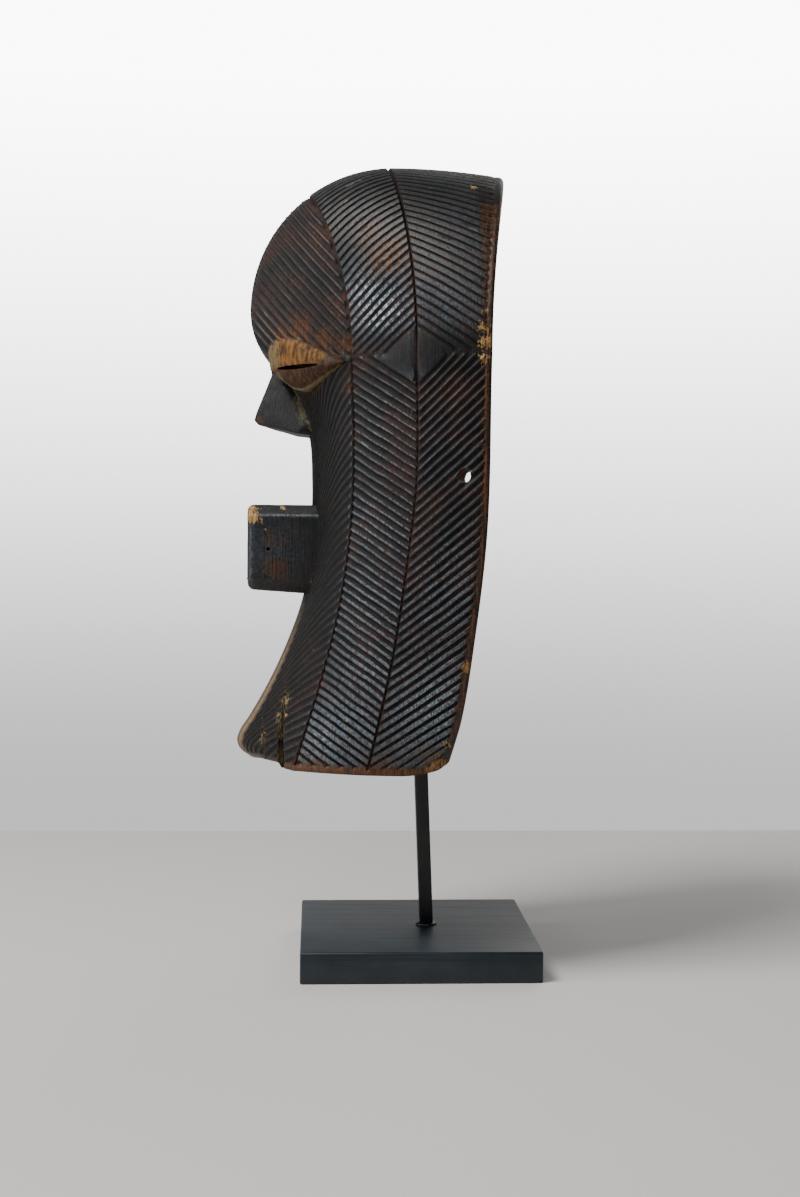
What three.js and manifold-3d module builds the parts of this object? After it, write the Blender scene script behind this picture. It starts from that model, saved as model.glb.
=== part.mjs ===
// A carved wooden face mask with herringbone grooves, hollow behind, standing on a square bar and a flat square base.
// Millimetres. +Z up, the mask faces -Y, +X is the mask's own left side. The origin is the middle of the base's underside.
import * as THREE from 'three';
import { mergeVertices } from 'three/addons/utils/BufferGeometryUtils.js';
import { ConvexGeometry } from 'three/addons/geometries/ConvexGeometry.js';
import Module from 'manifold-3d';

const wasm = await Module();
wasm.setup();

const RIGHT_ANGLE = 90;
const rad = (degrees) => degrees * Math.PI / RIGHT_ANGLE / 2;
const sind = (degrees) => Math.sin(rad(degrees));
const cosd = (degrees) => Math.cos(rad(degrees));
const mix = (a, b, t) => a + (b - a) * t;
const vec = (x, y, z) => new THREE.Vector3(x, y, z);

// A smooth curve through a few [level, value] stations.
function through(stations) {
  const s = [...stations].sort((a, b) => a[0] - b[0]);
  const chord = (i) => (s[i + 1][1] - s[i][1]) / (s[i + 1][0] - s[i][0]);
  const span = (i) => s[i + 1][0] - s[i][0];
  const slope = s.map((_, i) => {
    if (i === 0) return chord(0);
    if (i === s.length - 1) return chord(i - 1);
    return (chord(i - 1) * span(i) + chord(i) * span(i - 1)) / (span(i) + span(i - 1));
  });
  return (level) => {
    const at = Math.min(Math.max(level, s[0][0]), s[s.length - 1][0]);
    let i = 0;
    while (i < s.length - 2 && at > s[i + 1][0]) i += 1;
    const h = span(i);
    const q = (at - s[i][0]) / h;
    const p = 1 - q;
    return s[i][1] * (1 + 2 * q) * p * p + slope[i] * h * q * p * p
      + s[i + 1][1] * q * q * (3 - 2 * q) - slope[i + 1] * h * q * q * p;
  };
}

// Base and bar.
const BASE_SIDE = 138;
const BASE_THICK = 18;
const BASE_SOFTENING = 1;
const BAR_SIDE = 8;
const BAR_FOOT_Y = 6.7;
const BAR_LEAN = 0.0418;
const BAR_TOP = 457.6;
const TOUCH_GAP = 0.3;
const BEAD_RADIUS = 6.8;
const BEAD_HEIGHT = 2.6;

// Main levels of the mask.
const EYE = 353;
const BOTTOM = 118.5;
const WALL = 11;

// Forehead and crown on the middle plane.
const DOME_Y = -17;
const DOME_Z = 385.5;
const DOME_REACH = 84;
const DOME_RISE = 85;
const BROW_DROP = 60;
const CROWN_FALL = 5;
const CROWN_BACK = 48;

// Face below the brow on the middle plane, and the same for the hollow behind it.
const FACE = [[353, -87.6], [335, -74.5], [316, -66.7], [285, -63.8], [250, -65], [217, -68.8],
  [189, -78.3], [160, -91.9], [145, -100.5], [135, -106.8], [130, -108], [124, -105], [118.5, -97]];
const HOLLOW_FACE = [[353, -78.4], [316, -55.5], [285, -52.5], [217, -57], [189, -66], [160, -78],
  [140, -85], [118.5, -86]];

// The long carved lines: A beside the eye, B down the middle of the side, R along the back rim.
const LINES = {
  A: { x: [[353, 65], [250, 63], [200, 60], [150, 55], [118.5, 52]],
    y: [[353, -42.5], [312, -41], [262, -42], [212, -48.5], [163, -60.5], [118.5, -74]],
    crownY: -67, inX: 0.72, inY: 0.72 },
  B: { x: [[353, 87], [250, 86], [200, 82.5], [150, 77], [118.5, 73]],
    y: [[353, -7], [277, -7], [240, -11], [185, -18.7], [118.5, -32.5]],
    crownY: -21, inX: 0.9, inY: 0.35 },
  R: { x: [[353, 95], [250, 92], [200, 88], [150, 82], [118.5, 76]],
    y: [[353, 34], [240, 31.5], [198, 27], [152, 20.5], [118.5, 13]],
    crownY: CROWN_BACK, inX: 0.75, inY: 0 },
};
const SIDE_BULGE = 1.7;

// Rounded corners of the outline seen from the side, behind the crown and behind the foot.
const CORNERS = [
  { y: 40.2, z: 460, radius: 6.5, up: 1 },
  { y: 5.5, z: BOTTOM + 9, radius: 9, up: -1 },
];

// The same point, drawn in to a rounded corner when it stands out past one.
function eased(p) {
  for (const { y, z, radius, up } of CORNERS) {
    const behind = p.y - y;
    const out = (p.z - z) * up;
    const far = Math.hypot(behind, out);
    if (behind > 0 && out > 0 && far > radius) {
      p.y = y + (behind * radius) / far;
      p.z = z + (out * radius * up) / far;
    }
  }
  return p;
}

// The skin of the mask, or of its hollow when it is set in from it.
function makeForm(inset) {
  const face = through(inset ? HOLLOW_FACE : FACE);
  const reach = DOME_REACH - inset;
  const rise = DOME_RISE - inset;
  const front = (z) => {
    if (z < EYE) return face(z);
    const part = z > DOME_Z ? (z - DOME_Z) / rise : (DOME_Z - z) / BROW_DROP;
    return DOME_Y - reach * Math.sqrt(Math.max(0, 1 - part * part));
  };
  const crown = (y) => {
    if (y < DOME_Y) return DOME_Z + rise * Math.sqrt(Math.max(0, 1 - ((y - DOME_Y) / reach) ** 2));
    return DOME_Z + rise - CROWN_FALL * ((y - DOME_Y) / (CROWN_BACK - DOME_Y)) ** 2;
  };
  const line = {};
  for (const [name, l] of Object.entries(LINES)) {
    const x = through(l.x);
    const y = through(l.y);
    line[name] = {
      at: (z) => [x(z) - l.inX * inset, y(z) + l.inY * inset],
      crownY: l.crownY + (name === 'A' ? 0.55 * inset : 0),
    };
  }
  const between = (w, z) => {
    const [a, b] = w < 2 ? [line.A.at(z), line.B.at(z)] : [line.B.at(z), line.R.at(z)];
    const u = w < 2 ? w - 1 : w - 2;
    const run = [b[0] - a[0], b[1] - a[1]];
    const swell = SIDE_BULGE * Math.sin(Math.PI * u) / Math.hypot(...run);
    return [a[0] + run[0] * u + swell * run[1], a[1] + run[1] * u - swell * run[0]];
  };
  // w runs 1 at line A, 2 at line B, 3 at the rim.
  const sideLow = (w, z) => {
    const [x, y] = between(w, z);
    return vec(x, y, z);
  };
  const sideTop = (w, lift) => {
    const [x, y] = between(w, EYE);
    const crownY = w < 2 ? mix(line.A.crownY, line.B.crownY, w - 1) : mix(line.B.crownY, line.R.crownY, w - 2);
    return vec(x * cosd(lift), mix(y, crownY, sind(lift) ** 2), mix(EYE, crown(crownY), sind(lift)));
  };
  // t runs 0 on the middle plane to 1 at line A.
  const cheek = (t, z) => {
    const [x, y] = line.A.at(z);
    return vec(x * t, mix(front(z), y, t * t), z);
  };
  const topA = crown(line.A.crownY);
  const forehead = (x, z) => {
    const up = Math.min((z - EYE) / (topA - EYE), 1 - 1e-9);
    const [edge, side] = line.A.at(EYE);
    const edgeX = edge * Math.sqrt(1 - up * up);
    return vec(x, mix(front(z), mix(side, line.A.crownY, up * up), Math.min(1, (x / edgeX) ** 2)), z);
  };
  return { front, crown, sideLow, sideTop, cheek, forehead, topA, eyeA: line.A.at(EYE) };
}

const skin = makeForm(0);
const hollow = makeForm(WALL);

// A point of a sheet, sunk into the wood by a depth.
function sunk(sheet, a, b, depth) {
  const p = sheet(a, b);
  const e = 1e-3;
  const across = sheet(a + e, b).sub(sheet(a - e, b));
  const along = sheet(a, b + e).sub(sheet(a, b - e));
  const n = across.cross(along).normalize();
  const outward = vec(p.x, p.y - 20, p.z - Math.min(p.z, DOME_Z));
  p.addScaledVector(n, n.dot(outward) > 0 ? -depth : depth);
  if (Math.abs(p.x) < 1e-6) p.x = 0;
  return eased(p);
}

// Sizes of the grooves.
const FRONT_PITCH = 5.15;
const BACK_PITCH = 5.4;
const TOP_PITCH = 4.7;
const CHEEK_PITCH = 5.9;
const FOREHEAD_PITCH = 6;
const GROOVE = 1.3;
const LINE_DEPTH = 1.9;
const LINE_HALF = 1.3;
const BORDER = 3.5;
const EYE_GAP = 1.4;
const BAND_HALF = 5.5;
const EDGE_SOFTENING = 2.2;
const CROWN_CRACK = 2.6;
const CRACK_FOOT = 38;

// Falls and rises of the grooves across each panel: those of the sides are per mm from front to back.
const FRONT_FALL = 0.67;
const BACK_RISE = through([[120, 0.62], [330, 1.02]]);
const CHEEK_DROP = 40;
const CHEEK_CURL = 0.8;
const TOP_LEAN_A = 17;
const TOP_LEAN_R = 13.5;
const FOREHEAD_FALL_BACK = 0.95;
const FOREHEAD_FALL_OUT = 0.25;

// Plain places: where the side panels meet at the eye level, and down the chin below the mouth.
const DIAMOND_LOW = 15;
const DIAMOND_HIGH = 7;
const CHIN_BAND = 0.33;
const MOUTH_LOW = 219.5;

// Triangles of one closed body, given as corner points.
class Soup {
  constructor() {
    this.corners = [];
  }

  tri(a, b, c, flip) {
    const pts = flip ? [a, c, b] : [a, b, c];
    for (const p of pts) this.corners.push(p.x, p.y, p.z);
  }

  // Joins two neighbouring chains of points with the shortest cross pieces.
  zip(left, right, flip) {
    let i = 0;
    let j = 0;
    while (i < left.length - 1 || j < right.length - 1) {
      const stepLeft = i < left.length - 1 ? left[i + 1].distanceTo(right[j]) : Infinity;
      const stepRight = j < right.length - 1 ? left[i].distanceTo(right[j + 1]) : Infinity;
      if (stepLeft <= stepRight) {
        this.tri(left[i], left[i + 1], right[j], flip);
        i += 1;
      } else {
        this.tri(left[i], right[j + 1], right[j], flip);
        j += 1;
      }
    }
  }

  rows(rows, flip) {
    for (let r = 0; r < rows.length - 1; r += 1) {
      for (let c = 0; c < rows[r].length - 1; c += 1) {
        this.tri(rows[r][c], rows[r + 1][c], rows[r][c + 1], flip);
        this.tri(rows[r + 1][c], rows[r + 1][c + 1], rows[r][c + 1], flip);
      }
    }
  }

  solid() {
    const g = new THREE.BufferGeometry();
    g.setAttribute('position', new THREE.Float32BufferAttribute(this.corners, 3));
    return toManifold(g);
  }
}

function toManifold(geometry) {
  const g = geometry.clone();
  g.deleteAttribute('normal');
  g.deleteAttribute('uv');
  const m = mergeVertices(g, 1e-3);
  const index = m.index.array;
  const tris = [];
  for (let i = 0; i < index.length; i += 3) {
    const [a, b, c] = [index[i], index[i + 1], index[i + 2]];
    if (a !== b && b !== c && c !== a) tris.push(a, b, c);
  }
  return new wasm.Manifold(new wasm.Mesh({
    numProp: 3,
    vertProperties: new Float32Array(m.attributes.position.array),
    triVerts: new Uint32Array(tris),
  }));
}

function toGeometry(manifold) {
  const m = manifold.getMesh();
  const g = new THREE.BufferGeometry();
  g.setAttribute('position', new THREE.BufferAttribute(new Float32Array(m.vertProperties), 3));
  g.setIndex(new THREE.BufferAttribute(new Uint32Array(m.triVerts), 1));
  return g;
}

// Evenly spaced levels, ridge and groove in turn, between two ends.
function levels(from, to, pitch) {
  const count = Math.max(2, Math.round(Math.abs(to - from) / pitch * 2));
  return Array.from({ length: count + 1 }, (_, i) => ({
    at: mix(from, to, i / count),
    depth: i % 2 ? GROOVE : 0,
  }));
}

// The place between two others where a test that holds at the first one stops to hold.
function lastHeld(from, to, holds) {
  let [good, bad] = [from, to];
  if (holds(bad)) return bad;
  for (let i = 0; i < 30; i += 1) {
    const half = (good + bad) / 2;
    if (holds(half)) good = half;
    else bad = half;
  }
  return good;
}

const chain = (count, point) => Array.from({ length: count + 1 }, (_, i) => point(i / count));
const joined = (...chains) => chains.flatMap((c, i) => (i ? c.slice(1) : c));
const back = (c) => [...c].reverse();

// One half of the outside. The side is 1 for the mask's left and -1 for its right.
function addHalf(soup, side) {
  const place = (p) => vec(p.x * side, p.y, p.z);
  const flip = side < 0;
  const low = BOTTOM + BORDER;
  const eyeA = skin.eyeA[0];

  // Carved lines between the panels.
  const lowLine = (w, from, to, depth, n) => chain(n, (q) => sunk(skin.sideLow, w, mix(from, to, q), depth));
  const topLine = (w, depth, n) => chain(n, (q) => sunk(skin.sideTop, w, RIGHT_ANGLE * q, depth));
  const crackOpen = (lift) => (side > 0 && lift > CRACK_FOOT
    ? CROWN_CRACK * Math.sin(Math.PI * (lift - CRACK_FOOT) / (RIGHT_ANGLE - CRACK_FOOT)) : 0);
  const rimW = 3 - BORDER / 42;
  const lineA = lowLine(1, EYE, low, LINE_DEPTH, 16);
  const lineB = lowLine(2, EYE, low, LINE_DEPTH, 14);
  const lineR = lowLine(rimW, EYE, low, 0.4, 12);
  const topA = topLine(1, LINE_DEPTH, 14);
  const topB = chain(18, (q) => sunk(skin.sideTop, 2, RIGHT_ANGLE * q, LINE_DEPTH + crackOpen(RIGHT_ANGLE * q)));
  const topR = topLine(rimW, 0.4, 16);
  topA[0] = lineA[0];
  topB[0] = lineB[0];
  topR[0] = lineR[0];
  const across = (from, to, z, n, ends) => {
    const c = chain(n, (q) => sunk(skin.sideLow, mix(from, to, q), z, 0.3));
    c[0] = ends[0];
    c[n] = ends[1];
    return c;
  };
  const last = (c) => c[c.length - 1];
  const eyeAB = across(1, 2, EYE, 5, [lineA[0], lineB[0]]);
  const eyeBR = across(2, rimW, EYE, 4, [lineB[0], lineR[0]]);
  const footAB = across(1, 2, low, 5, [last(lineA), last(lineB)]);
  const footBR = across(2, rimW, low, 4, [last(lineB), last(lineR)]);
  const middle = chain(30, (q) => sunk(skin.cheek, 0, mix(EYE, low, q), 0));
  const eyeMA = chain(6, (q) => sunk(skin.cheek, q, EYE, 0.3));
  eyeMA[0] = middle[0];
  eyeMA[6] = lineA[0];
  const footMA = chain(6, (q) => sunk(skin.cheek, q, low, 0.3));
  footMA[0] = last(middle);
  footMA[6] = last(lineA);

  // Grooves of one panel: every row runs from a left end to a right end, and the rows fill the frame
  // between two chains that share their first corner, and their last one unless it lies on the middle plane.
  const panel = (rows, left, right, flipped, openEnd) => {
    const first = rows[0].map(() => left[0]);
    const end = openEnd ? [] : [rows[0].map(() => last(left))];
    const placed = rows.map((r) => r.map(place));
    soup.rows([first, ...rows, ...end].map((r) => r.map(place)), flipped);
    soup.zip(left.map(place), placed.map((r) => r[0]), flipped);
    soup.zip(placed.map((r) => last(r)), right.map(place), flipped);
  };
  const top = EYE - EYE_GAP;
  const foot = low + 1.5;
  const u0 = LINE_HALF / 47;
  const v0 = LINE_HALF / 42;
  const v1 = rimW - 2 - LINE_HALF / 60;

  // Cheek and chin, inside line A: chevrons that fall to the middle, or to the plain band of the chin.
  const t0 = BAND_HALF / eyeA;
  const t1 = 1 - LINE_HALF / eyeA;
  const cheekFall = (t) => CHEEK_DROP * (1 - t) * (1 + CHEEK_CURL * (1 - t));
  panel(levels(top + cheekFall(t0), foot + cheekFall(t1), CHEEK_PITCH).map(({ at, depth }) => {
    const start = lastHeld(t0, CHIN_BAND, (t) => at - cheekFall(t) < MOUTH_LOW);
    const from = lastHeld(t1, start, (t) => at - cheekFall(t) > foot);
    const to = lastHeld(from, t1, (t) => at - cheekFall(t) < top);
    return chain(3, (q) => {
      const t = mix(from, to, q);
      return sunk(skin.cheek, t, at - cheekFall(t), depth);
    });
  }), joined(middle, footMA), joined(eyeMA, lineA), flip);

  // Side panels: straight rows that fall from line A to line B and rise again to the rim.
  const sideY = skin.sideLow(2, EYE).y;
  const rowHeight = (w, at, fall) => {
    let z = at;
    for (let i = 0; i < 4; i += 1) z = at - fall * (skin.sideLow(w, z).y - sideY);
    return z;
  };
  const sideRow = (w0, w1, at, fall, depth) => {
    const [highEnd, lowEnd] = fall > 0 ? [w0, w1] : [w1, w0];
    const below = lastHeld(lowEnd, highEnd, (w) => rowHeight(w, at, fall) < top);
    const above = lastHeld(highEnd, lowEnd, (w) => rowHeight(w, at, fall) > foot);
    const [from, to] = fall > 0 ? [below, above] : [above, below];
    return chain(2, (q) => {
      const w = mix(from, to, q);
      return sunk(skin.sideLow, w, rowHeight(w, at, fall), depth);
    });
  };
  const footA = skin.sideLow(1, foot).y;
  panel(levels(top - DIAMOND_LOW, foot + FRONT_FALL * (footA - sideY) + 0.5, FRONT_PITCH).map(({ at, depth }) => (
    sideRow(1 + u0, 2 - u0, at, FRONT_FALL, depth)
  )), joined(back(eyeAB), lineA), joined(lineB, back(footAB)), flip);
  const footR = skin.sideLow(2 + v1, foot).y;
  panel(levels(top - DIAMOND_LOW, foot - BACK_RISE(foot) * (footR - sideY) + 0.5, BACK_PITCH).map(({ at, depth }) => (
    sideRow(2 + v0, 2 + v1, at, -BACK_RISE(at), depth)
  )), joined(lineB, footBR), joined(eyeBR, lineR), flip);

  // Upper panels, measured by the lift angle from the eye line (0) to the crown (90).
  const arcB = (Math.PI / 4) * (87 + 117);
  const pitchTop = RIGHT_ANGLE * TOP_PITCH / arcB;
  const gap = 1;
  panel(levels(DIAMOND_HIGH, RIGHT_ANGLE, pitchTop).map(({ at, depth }) => {
    const liftA = at - TOP_LEAN_A * (1 - (at / RIGHT_ANGLE) ** 2);
    const from = at < RIGHT_ANGLE ? Math.max(u0, (gap - liftA) / (at - liftA)) : u0;
    return chain(2, (q) => {
      const u = mix(Math.min(from, 1 - u0), 1 - u0, q);
      return sunk(skin.sideTop, 1 + u, mix(liftA, at, u), depth);
    });
  }), joined(back(eyeAB), topA), topB, !flip, true);
  panel(levels(DIAMOND_HIGH, RIGHT_ANGLE, pitchTop).map(({ at, depth }) => {
    const liftR = at - TOP_LEAN_R * (1 - (at / RIGHT_ANGLE) ** 3);
    const to = at < RIGHT_ANGLE ? Math.min(v1, (at - gap) / (at - liftR)) : v1;
    return chain(2, (q) => {
      const v = mix(v0, Math.max(to, v0), q);
      return sunk(skin.sideTop, 2 + v, mix(at, liftR, v), depth);
    });
  }), topB, joined(eyeBR, topR), !flip, true);

  // Forehead: rows that fall to the back from the middle, inside the arch of line A.
  const archX = eyeA - LINE_HALF;
  const archZ = skin.topA - EYE - LINE_HALF;
  const foreheadLow = EYE + EYE_GAP;
  const foreheadTop = EYE + archZ;
  const rowOf = (x, z) => (
    z + FOREHEAD_FALL_BACK * (skin.forehead(x, z).y - skin.front(EYE)) + FOREHEAD_FALL_OUT * x
  );
  const foreheadRows = levels(rowOf(0, foreheadLow), rowOf(0, foreheadTop) - 1, FOREHEAD_PITCH).map(({ at, depth }) => {
    const height = (x) => lastHeld(EYE, foreheadTop, (z) => rowOf(x, z) < at);
    const inside = (x) => height(x) > foreheadLow
      && (x / archX) ** 2 + ((height(x) - EYE) / archZ) ** 2 < 1;
    const to = lastHeld(0, archX, inside);
    return chain(3, (q) => sunk(skin.forehead, to * q, height(to * q), depth));
  });
  const tip = back(last(foreheadRows)).slice(1);
  const archTop = sunk(skin.forehead, 0, foreheadTop, 0);
  const perimeter = [...foreheadRows.map((r) => last(r)), ...tip, archTop].map(place);
  soup.rows(foreheadRows.map((r) => r.map(place)), !flip);
  soup.zip(perimeter, joined(eyeMA, topA).map(place), !flip);

  // Plain border, back edge and bottom edge, closed straight across behind and below.
  const inner = joined(back(topR), lineR, back(footBR), back(footAB), back(footMA));
  const push = (rimStep, down, drop) => joined(
    chain(16, (q) => sunk(skin.sideTop, rimW + rimStep, RIGHT_ANGLE * (1 - q), drop)),
    chain(12, (q) => sunk(skin.sideLow, rimW + rimStep, mix(EYE, low - down, q), drop)),
    chain(4, (q) => sunk(skin.sideLow, mix(rimW + rimStep, 2, q), low - down, drop)),
    chain(5, (q) => sunk(skin.sideLow, 2 - q, low - down, drop)),
    chain(6, (q) => sunk(skin.cheek, 1 - q, low - down, drop)),
  );
  const full = 3 - rimW;
  const ringOne = push(full * 0.5, BORDER * 0.5, 0);
  const ringTwo = push(full, BORDER, EDGE_SOFTENING);
  const flatten = (p) => vec(0, p.y, p.z);
  const strips = [inner, ringOne, ringTwo, ringTwo.map(flatten)].map((c) => c.map(place));
  for (let s = 0; s < strips.length - 1; s += 1) {
    const pair = strips[s].map((p, i) => [p, strips[s + 1][i]]);
    soup.rows(pair, flip);
  }
}

// The hollow behind the face, run out past the back and the bottom.
function addHollowHalf(soup, side) {
  const flip = side > 0;
  const runOut = 25;
  const finish = (row) => {
    const end = row[row.length - 1];
    const rest = [vec(end.x, end.y + runOut, end.z), vec(0, end.y + runOut, end.z)];
    return [...row, ...rest].map((p) => vec(Math.abs(p.x) < 1e-6 ? 0 : p.x * side, p.y, p.z));
  };
  const rows = chain(8, (q) => RIGHT_ANGLE * (1 - q)).map((lift) => {
    const z = mix(EYE, hollow.topA, sind(lift));
    const x = hollow.eyeA[0] * cosd(lift);
    const fore = chain(2, (q) => (lift === RIGHT_ANGLE ? hollow.sideTop(1, lift) : hollow.forehead(x * q, z)));
    const rest = chain(4, (q) => hollow.sideTop(1 + 2 * q, lift));
    return finish(joined(fore, rest));
  });
  for (const z of chain(8, (q) => mix(EYE, BOTTOM, q)).slice(1)) {
    const fore = chain(2, (q) => hollow.cheek(q, z));
    const rest = chain(4, (q) => hollow.sideLow(1 + 2 * q, z));
    rows.push(finish(joined(fore, rest)));
  }
  const below = rows[rows.length - 1].map((p) => vec(p.x, p.y, p.z - runOut));
  rows.push(below, below.map((p) => vec(0, p.y, p.z)));
  soup.rows(rows, !flip);
}

const box = (width, depth, height, x, y, z) => toManifold(new THREE.BoxGeometry(width, depth, height).translate(x, y, z));

function bothSides(build) {
  return build(1).add(build(-1));
}

// Nose: a triangular wedge with a flat underside.
function makeNose() {
  const points = [];
  for (const s of [1, -1]) {
    points.push(
      vec(3.5 * s, -86.5, 352.5), vec(3.5 * s, -74, 357), vec(4 * s, -97.6, 324.5), vec(4 * s, -96, 318.4),
      vec(2 * s, -98.6, 321), vec(10.5 * s, -79, 338), vec(10.5 * s, -66, 343),
      vec(18 * s, -72.5, 312.6), vec(18.5 * s, -70.5, 315.5), vec(18 * s, -58, 311), vec(17 * s, -57, 324),
    );
  }
  return toManifold(new ConvexGeometry(points));
}

// Mouth: a box with chamfered edges and a softened front.
const MOUTH = { half: 27, low: 219.5, high: 271, front: -101.5, root: -58, chamfer: 6.5, soften: 2.6, taper: 3 };

function makeMouth() {
  const s = MOUTH.soften;
  const [w, h, c] = [MOUTH.half - s, (MOUTH.high - MOUTH.low) / 2 - s, MOUTH.chamfer - s / 2];
  const outline = [[w, h - c], [w - c, h], [c - w, h], [-w, h - c], [-w, c - h], [c - w, -h], [w - c, -h], [w, c - h]];
  const shape = new THREE.Shape(outline.map(([x, z]) => new THREE.Vector2(x, z)));
  const g = new THREE.ExtrudeGeometry(shape, {
    depth: MOUTH.root - MOUTH.front - s, bevelEnabled: true, bevelThickness: s, bevelSize: s, bevelSegments: 2,
  });
  g.rotateX(Math.PI / 2);
  g.translate(0, MOUTH.root, (MOUTH.high + MOUTH.low) / 2);
  const place = g.attributes.position;
  for (let i = 0; i < place.count; i += 1) {
    const inward = (place.getY(i) - MOUTH.front) / (MOUTH.root - MOUTH.front);
    if (place.getZ(i) < MOUTH.low + MOUTH.chamfer + 1) place.setZ(i, place.getZ(i) - MOUTH.taper * inward);
  }
  return toManifold(g);
}

// Eyes: coffee beans set on the corner between face and side, each with a slit.
const EYEBALL = { x: 37, y: -66.5, z: 350.5, long: 34, tall: 15.5, thick: 10, turn: 39, tip: 12, point: 0.2 };

function placeEye(geometry, side) {
  geometry.rotateX(rad(EYEBALL.tip));
  geometry.rotateZ(rad(EYEBALL.turn));
  geometry.translate(EYEBALL.x, EYEBALL.y, EYEBALL.z);
  if (side < 0) {
    geometry.rotateZ(Math.PI);
    geometry.scale(1, -1, 1);
    flipFaces(geometry);
  }
  return toManifold(geometry);
}

function flipFaces(geometry) {
  const index = geometry.index.array;
  for (let i = 0; i < index.length; i += 3) [index[i + 1], index[i + 2]] = [index[i + 2], index[i + 1]];
}

function makeEyes() {
  return bothSides((side) => {
    const ball = new THREE.SphereGeometry(1, 14, 8);
    ball.rotateZ(Math.PI / 2);
    const place = ball.attributes.position;
    for (let i = 0; i < place.count; i += 1) {
      const taper = Math.max(0, 1 - place.getX(i) ** 2) ** EYEBALL.point;
      place.setXYZ(i, place.getX(i), place.getY(i) * taper, place.getZ(i) * taper);
    }
    ball.scale(EYEBALL.long, EYEBALL.thick, EYEBALL.tall);
    return placeEye(ball, side);
  });
}

function makeSlits() {
  return bothSides((side) => {
    const slit = new THREE.BoxGeometry(44, 44, 2.2);
    slit.translate(0, 4, 0.5);
    return placeEye(slit, side);
  });
}

// Holes beside the rim for the tie, and the open mouth.
const TIE_HOLE = { y: 18.7, z: 286.5, radius: 3.4 };

function makeHoles() {
  const tie = new THREE.CylinderGeometry(TIE_HOLE.radius, TIE_HOLE.radius, 240, 14);
  tie.rotateZ(Math.PI / 2);
  tie.translate(0, TIE_HOLE.y, TIE_HOLE.z);
  const mouth = box(34, 70, 13, 0, -80, (MOUTH.high + MOUTH.low) / 2);
  return toManifold(tie).add(mouth);
}

// An open crack that runs up the left cheek from the bottom edge and closes to nothing.
const CHIN_CRACKS = [
  { foot: [42.5, -81.5], head: [34, -79.5], height: 45, width: 3.4, depth: 7 },
  { foot: [27, -92.5], head: [23, -92.5], height: 28, width: 2, depth: 5 },
];

function makeCrack({ foot, head, height, width, depth }) {
  const out = [0.72, -0.69];
  const across = [0.69, 0.72];
  const points = [];
  for (const reach of [3, -depth]) {
    for (const side of [-1, 1]) {
      const half = side * width * (reach > 0 ? 0.55 : 0.12);
      points.push(
        vec(foot[0] + out[0] * reach + across[0] * half, foot[1] + out[1] * reach + across[1] * half, BOTTOM - 3),
        vec(head[0] + out[0] * reach + side * 0.15, head[1] + out[1] * reach + side * 0.15, BOTTOM + height),
      );
    }
  }
  return toManifold(new ConvexGeometry(points));
}

function makeMask() {
  const outside = new Soup();
  const inside = new Soup();
  for (const side of [1, -1]) {
    addHalf(outside, side);
    addHollowHalf(inside, side);
  }
  let mask = outside.solid();
  mask = mask.add(makeNose()).add(makeMouth()).add(makeEyes());
  mask = mask.subtract(inside.solid()).subtract(makeSlits()).subtract(makeHoles());
  for (const crack of CHIN_CRACKS) mask = mask.subtract(makeCrack(crack));
  return toGeometry(mask);
}

function makeBar() {
  const r = 0.7;
  const h = BAR_SIDE / 2;
  const outline = new THREE.Shape();
  outline.moveTo(h - r, -h);
  outline.absarc(h - r, r - h, r, -Math.PI / 2, 0);
  outline.absarc(h - r, h - r, r, 0, Math.PI / 2);
  outline.absarc(r - h, h - r, r, Math.PI / 2, Math.PI);
  outline.absarc(r - h, r - h, r, Math.PI, Math.PI * 1.5);
  const foot = BASE_THICK + TOUCH_GAP;
  const bar = new THREE.ExtrudeGeometry(outline, { depth: BAR_TOP - foot, bevelEnabled: false, curveSegments: 1 });
  bar.applyMatrix4(new THREE.Matrix4().makeShear(0, 0, 0, 0, 0, -BAR_LEAN));
  bar.translate(0, BAR_FOOT_Y, foot);
  const profile = [[0, 0], [BEAD_RADIUS, 0], [BEAD_RADIUS * 0.92, BEAD_HEIGHT * 0.5], [BEAD_RADIUS * 0.6, BEAD_HEIGHT],
    [0, BEAD_HEIGHT]];
  const bead = new THREE.LatheGeometry(profile.map(([x, y]) => new THREE.Vector2(x, y)), 10);
  bead.rotateX(Math.PI / 2);
  bead.translate(0, BAR_FOOT_Y, foot);
  return toGeometry(toManifold(bar).add(toManifold(bead)));
}

function makeBase() {
  const s = BASE_SOFTENING;
  const h = BASE_SIDE / 2 - s;
  const square = new THREE.Shape([[-h, -h], [h, -h], [h, h], [-h, h]].map(([x, y]) => new THREE.Vector2(x, y)));
  const g = new THREE.ExtrudeGeometry(square, {
    depth: BASE_THICK - 2 * s, bevelEnabled: true, bevelThickness: s, bevelSize: s, bevelSegments: 2,
  });
  g.translate(0, 0, s);
  return toGeometry(toManifold(g));
}

const wood = new THREE.MeshStandardMaterial({ color: 0x2e231c, roughness: 0.5, metalness: 0 });
const blackSteel = new THREE.MeshStandardMaterial({ color: 0x14161a, roughness: 0.42, metalness: 0 });
const blackBoard = new THREE.MeshStandardMaterial({ color: 0x191d23, roughness: 0.45, metalness: 0 });

const part = new THREE.Group();
part.name = 'face_mask_on_stand';

for (const [name, geometry, material] of [
  ['mask', makeMask(), wood],
  ['stand_bar', makeBar(), blackSteel],
  ['stand_base', makeBase(), blackBoard],
]) {
  const mesh = new THREE.Mesh(geometry, material);
  mesh.name = name;
  part.add(mesh);
}

export default part;
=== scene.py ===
"""A carved wooden face mask with herringbone grooves, standing on a square bar and a flat square base."""

import math

import bmesh
import bpy
import numpy as np
from mathutils import Matrix, Vector, geometry, kdtree, noise


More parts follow.
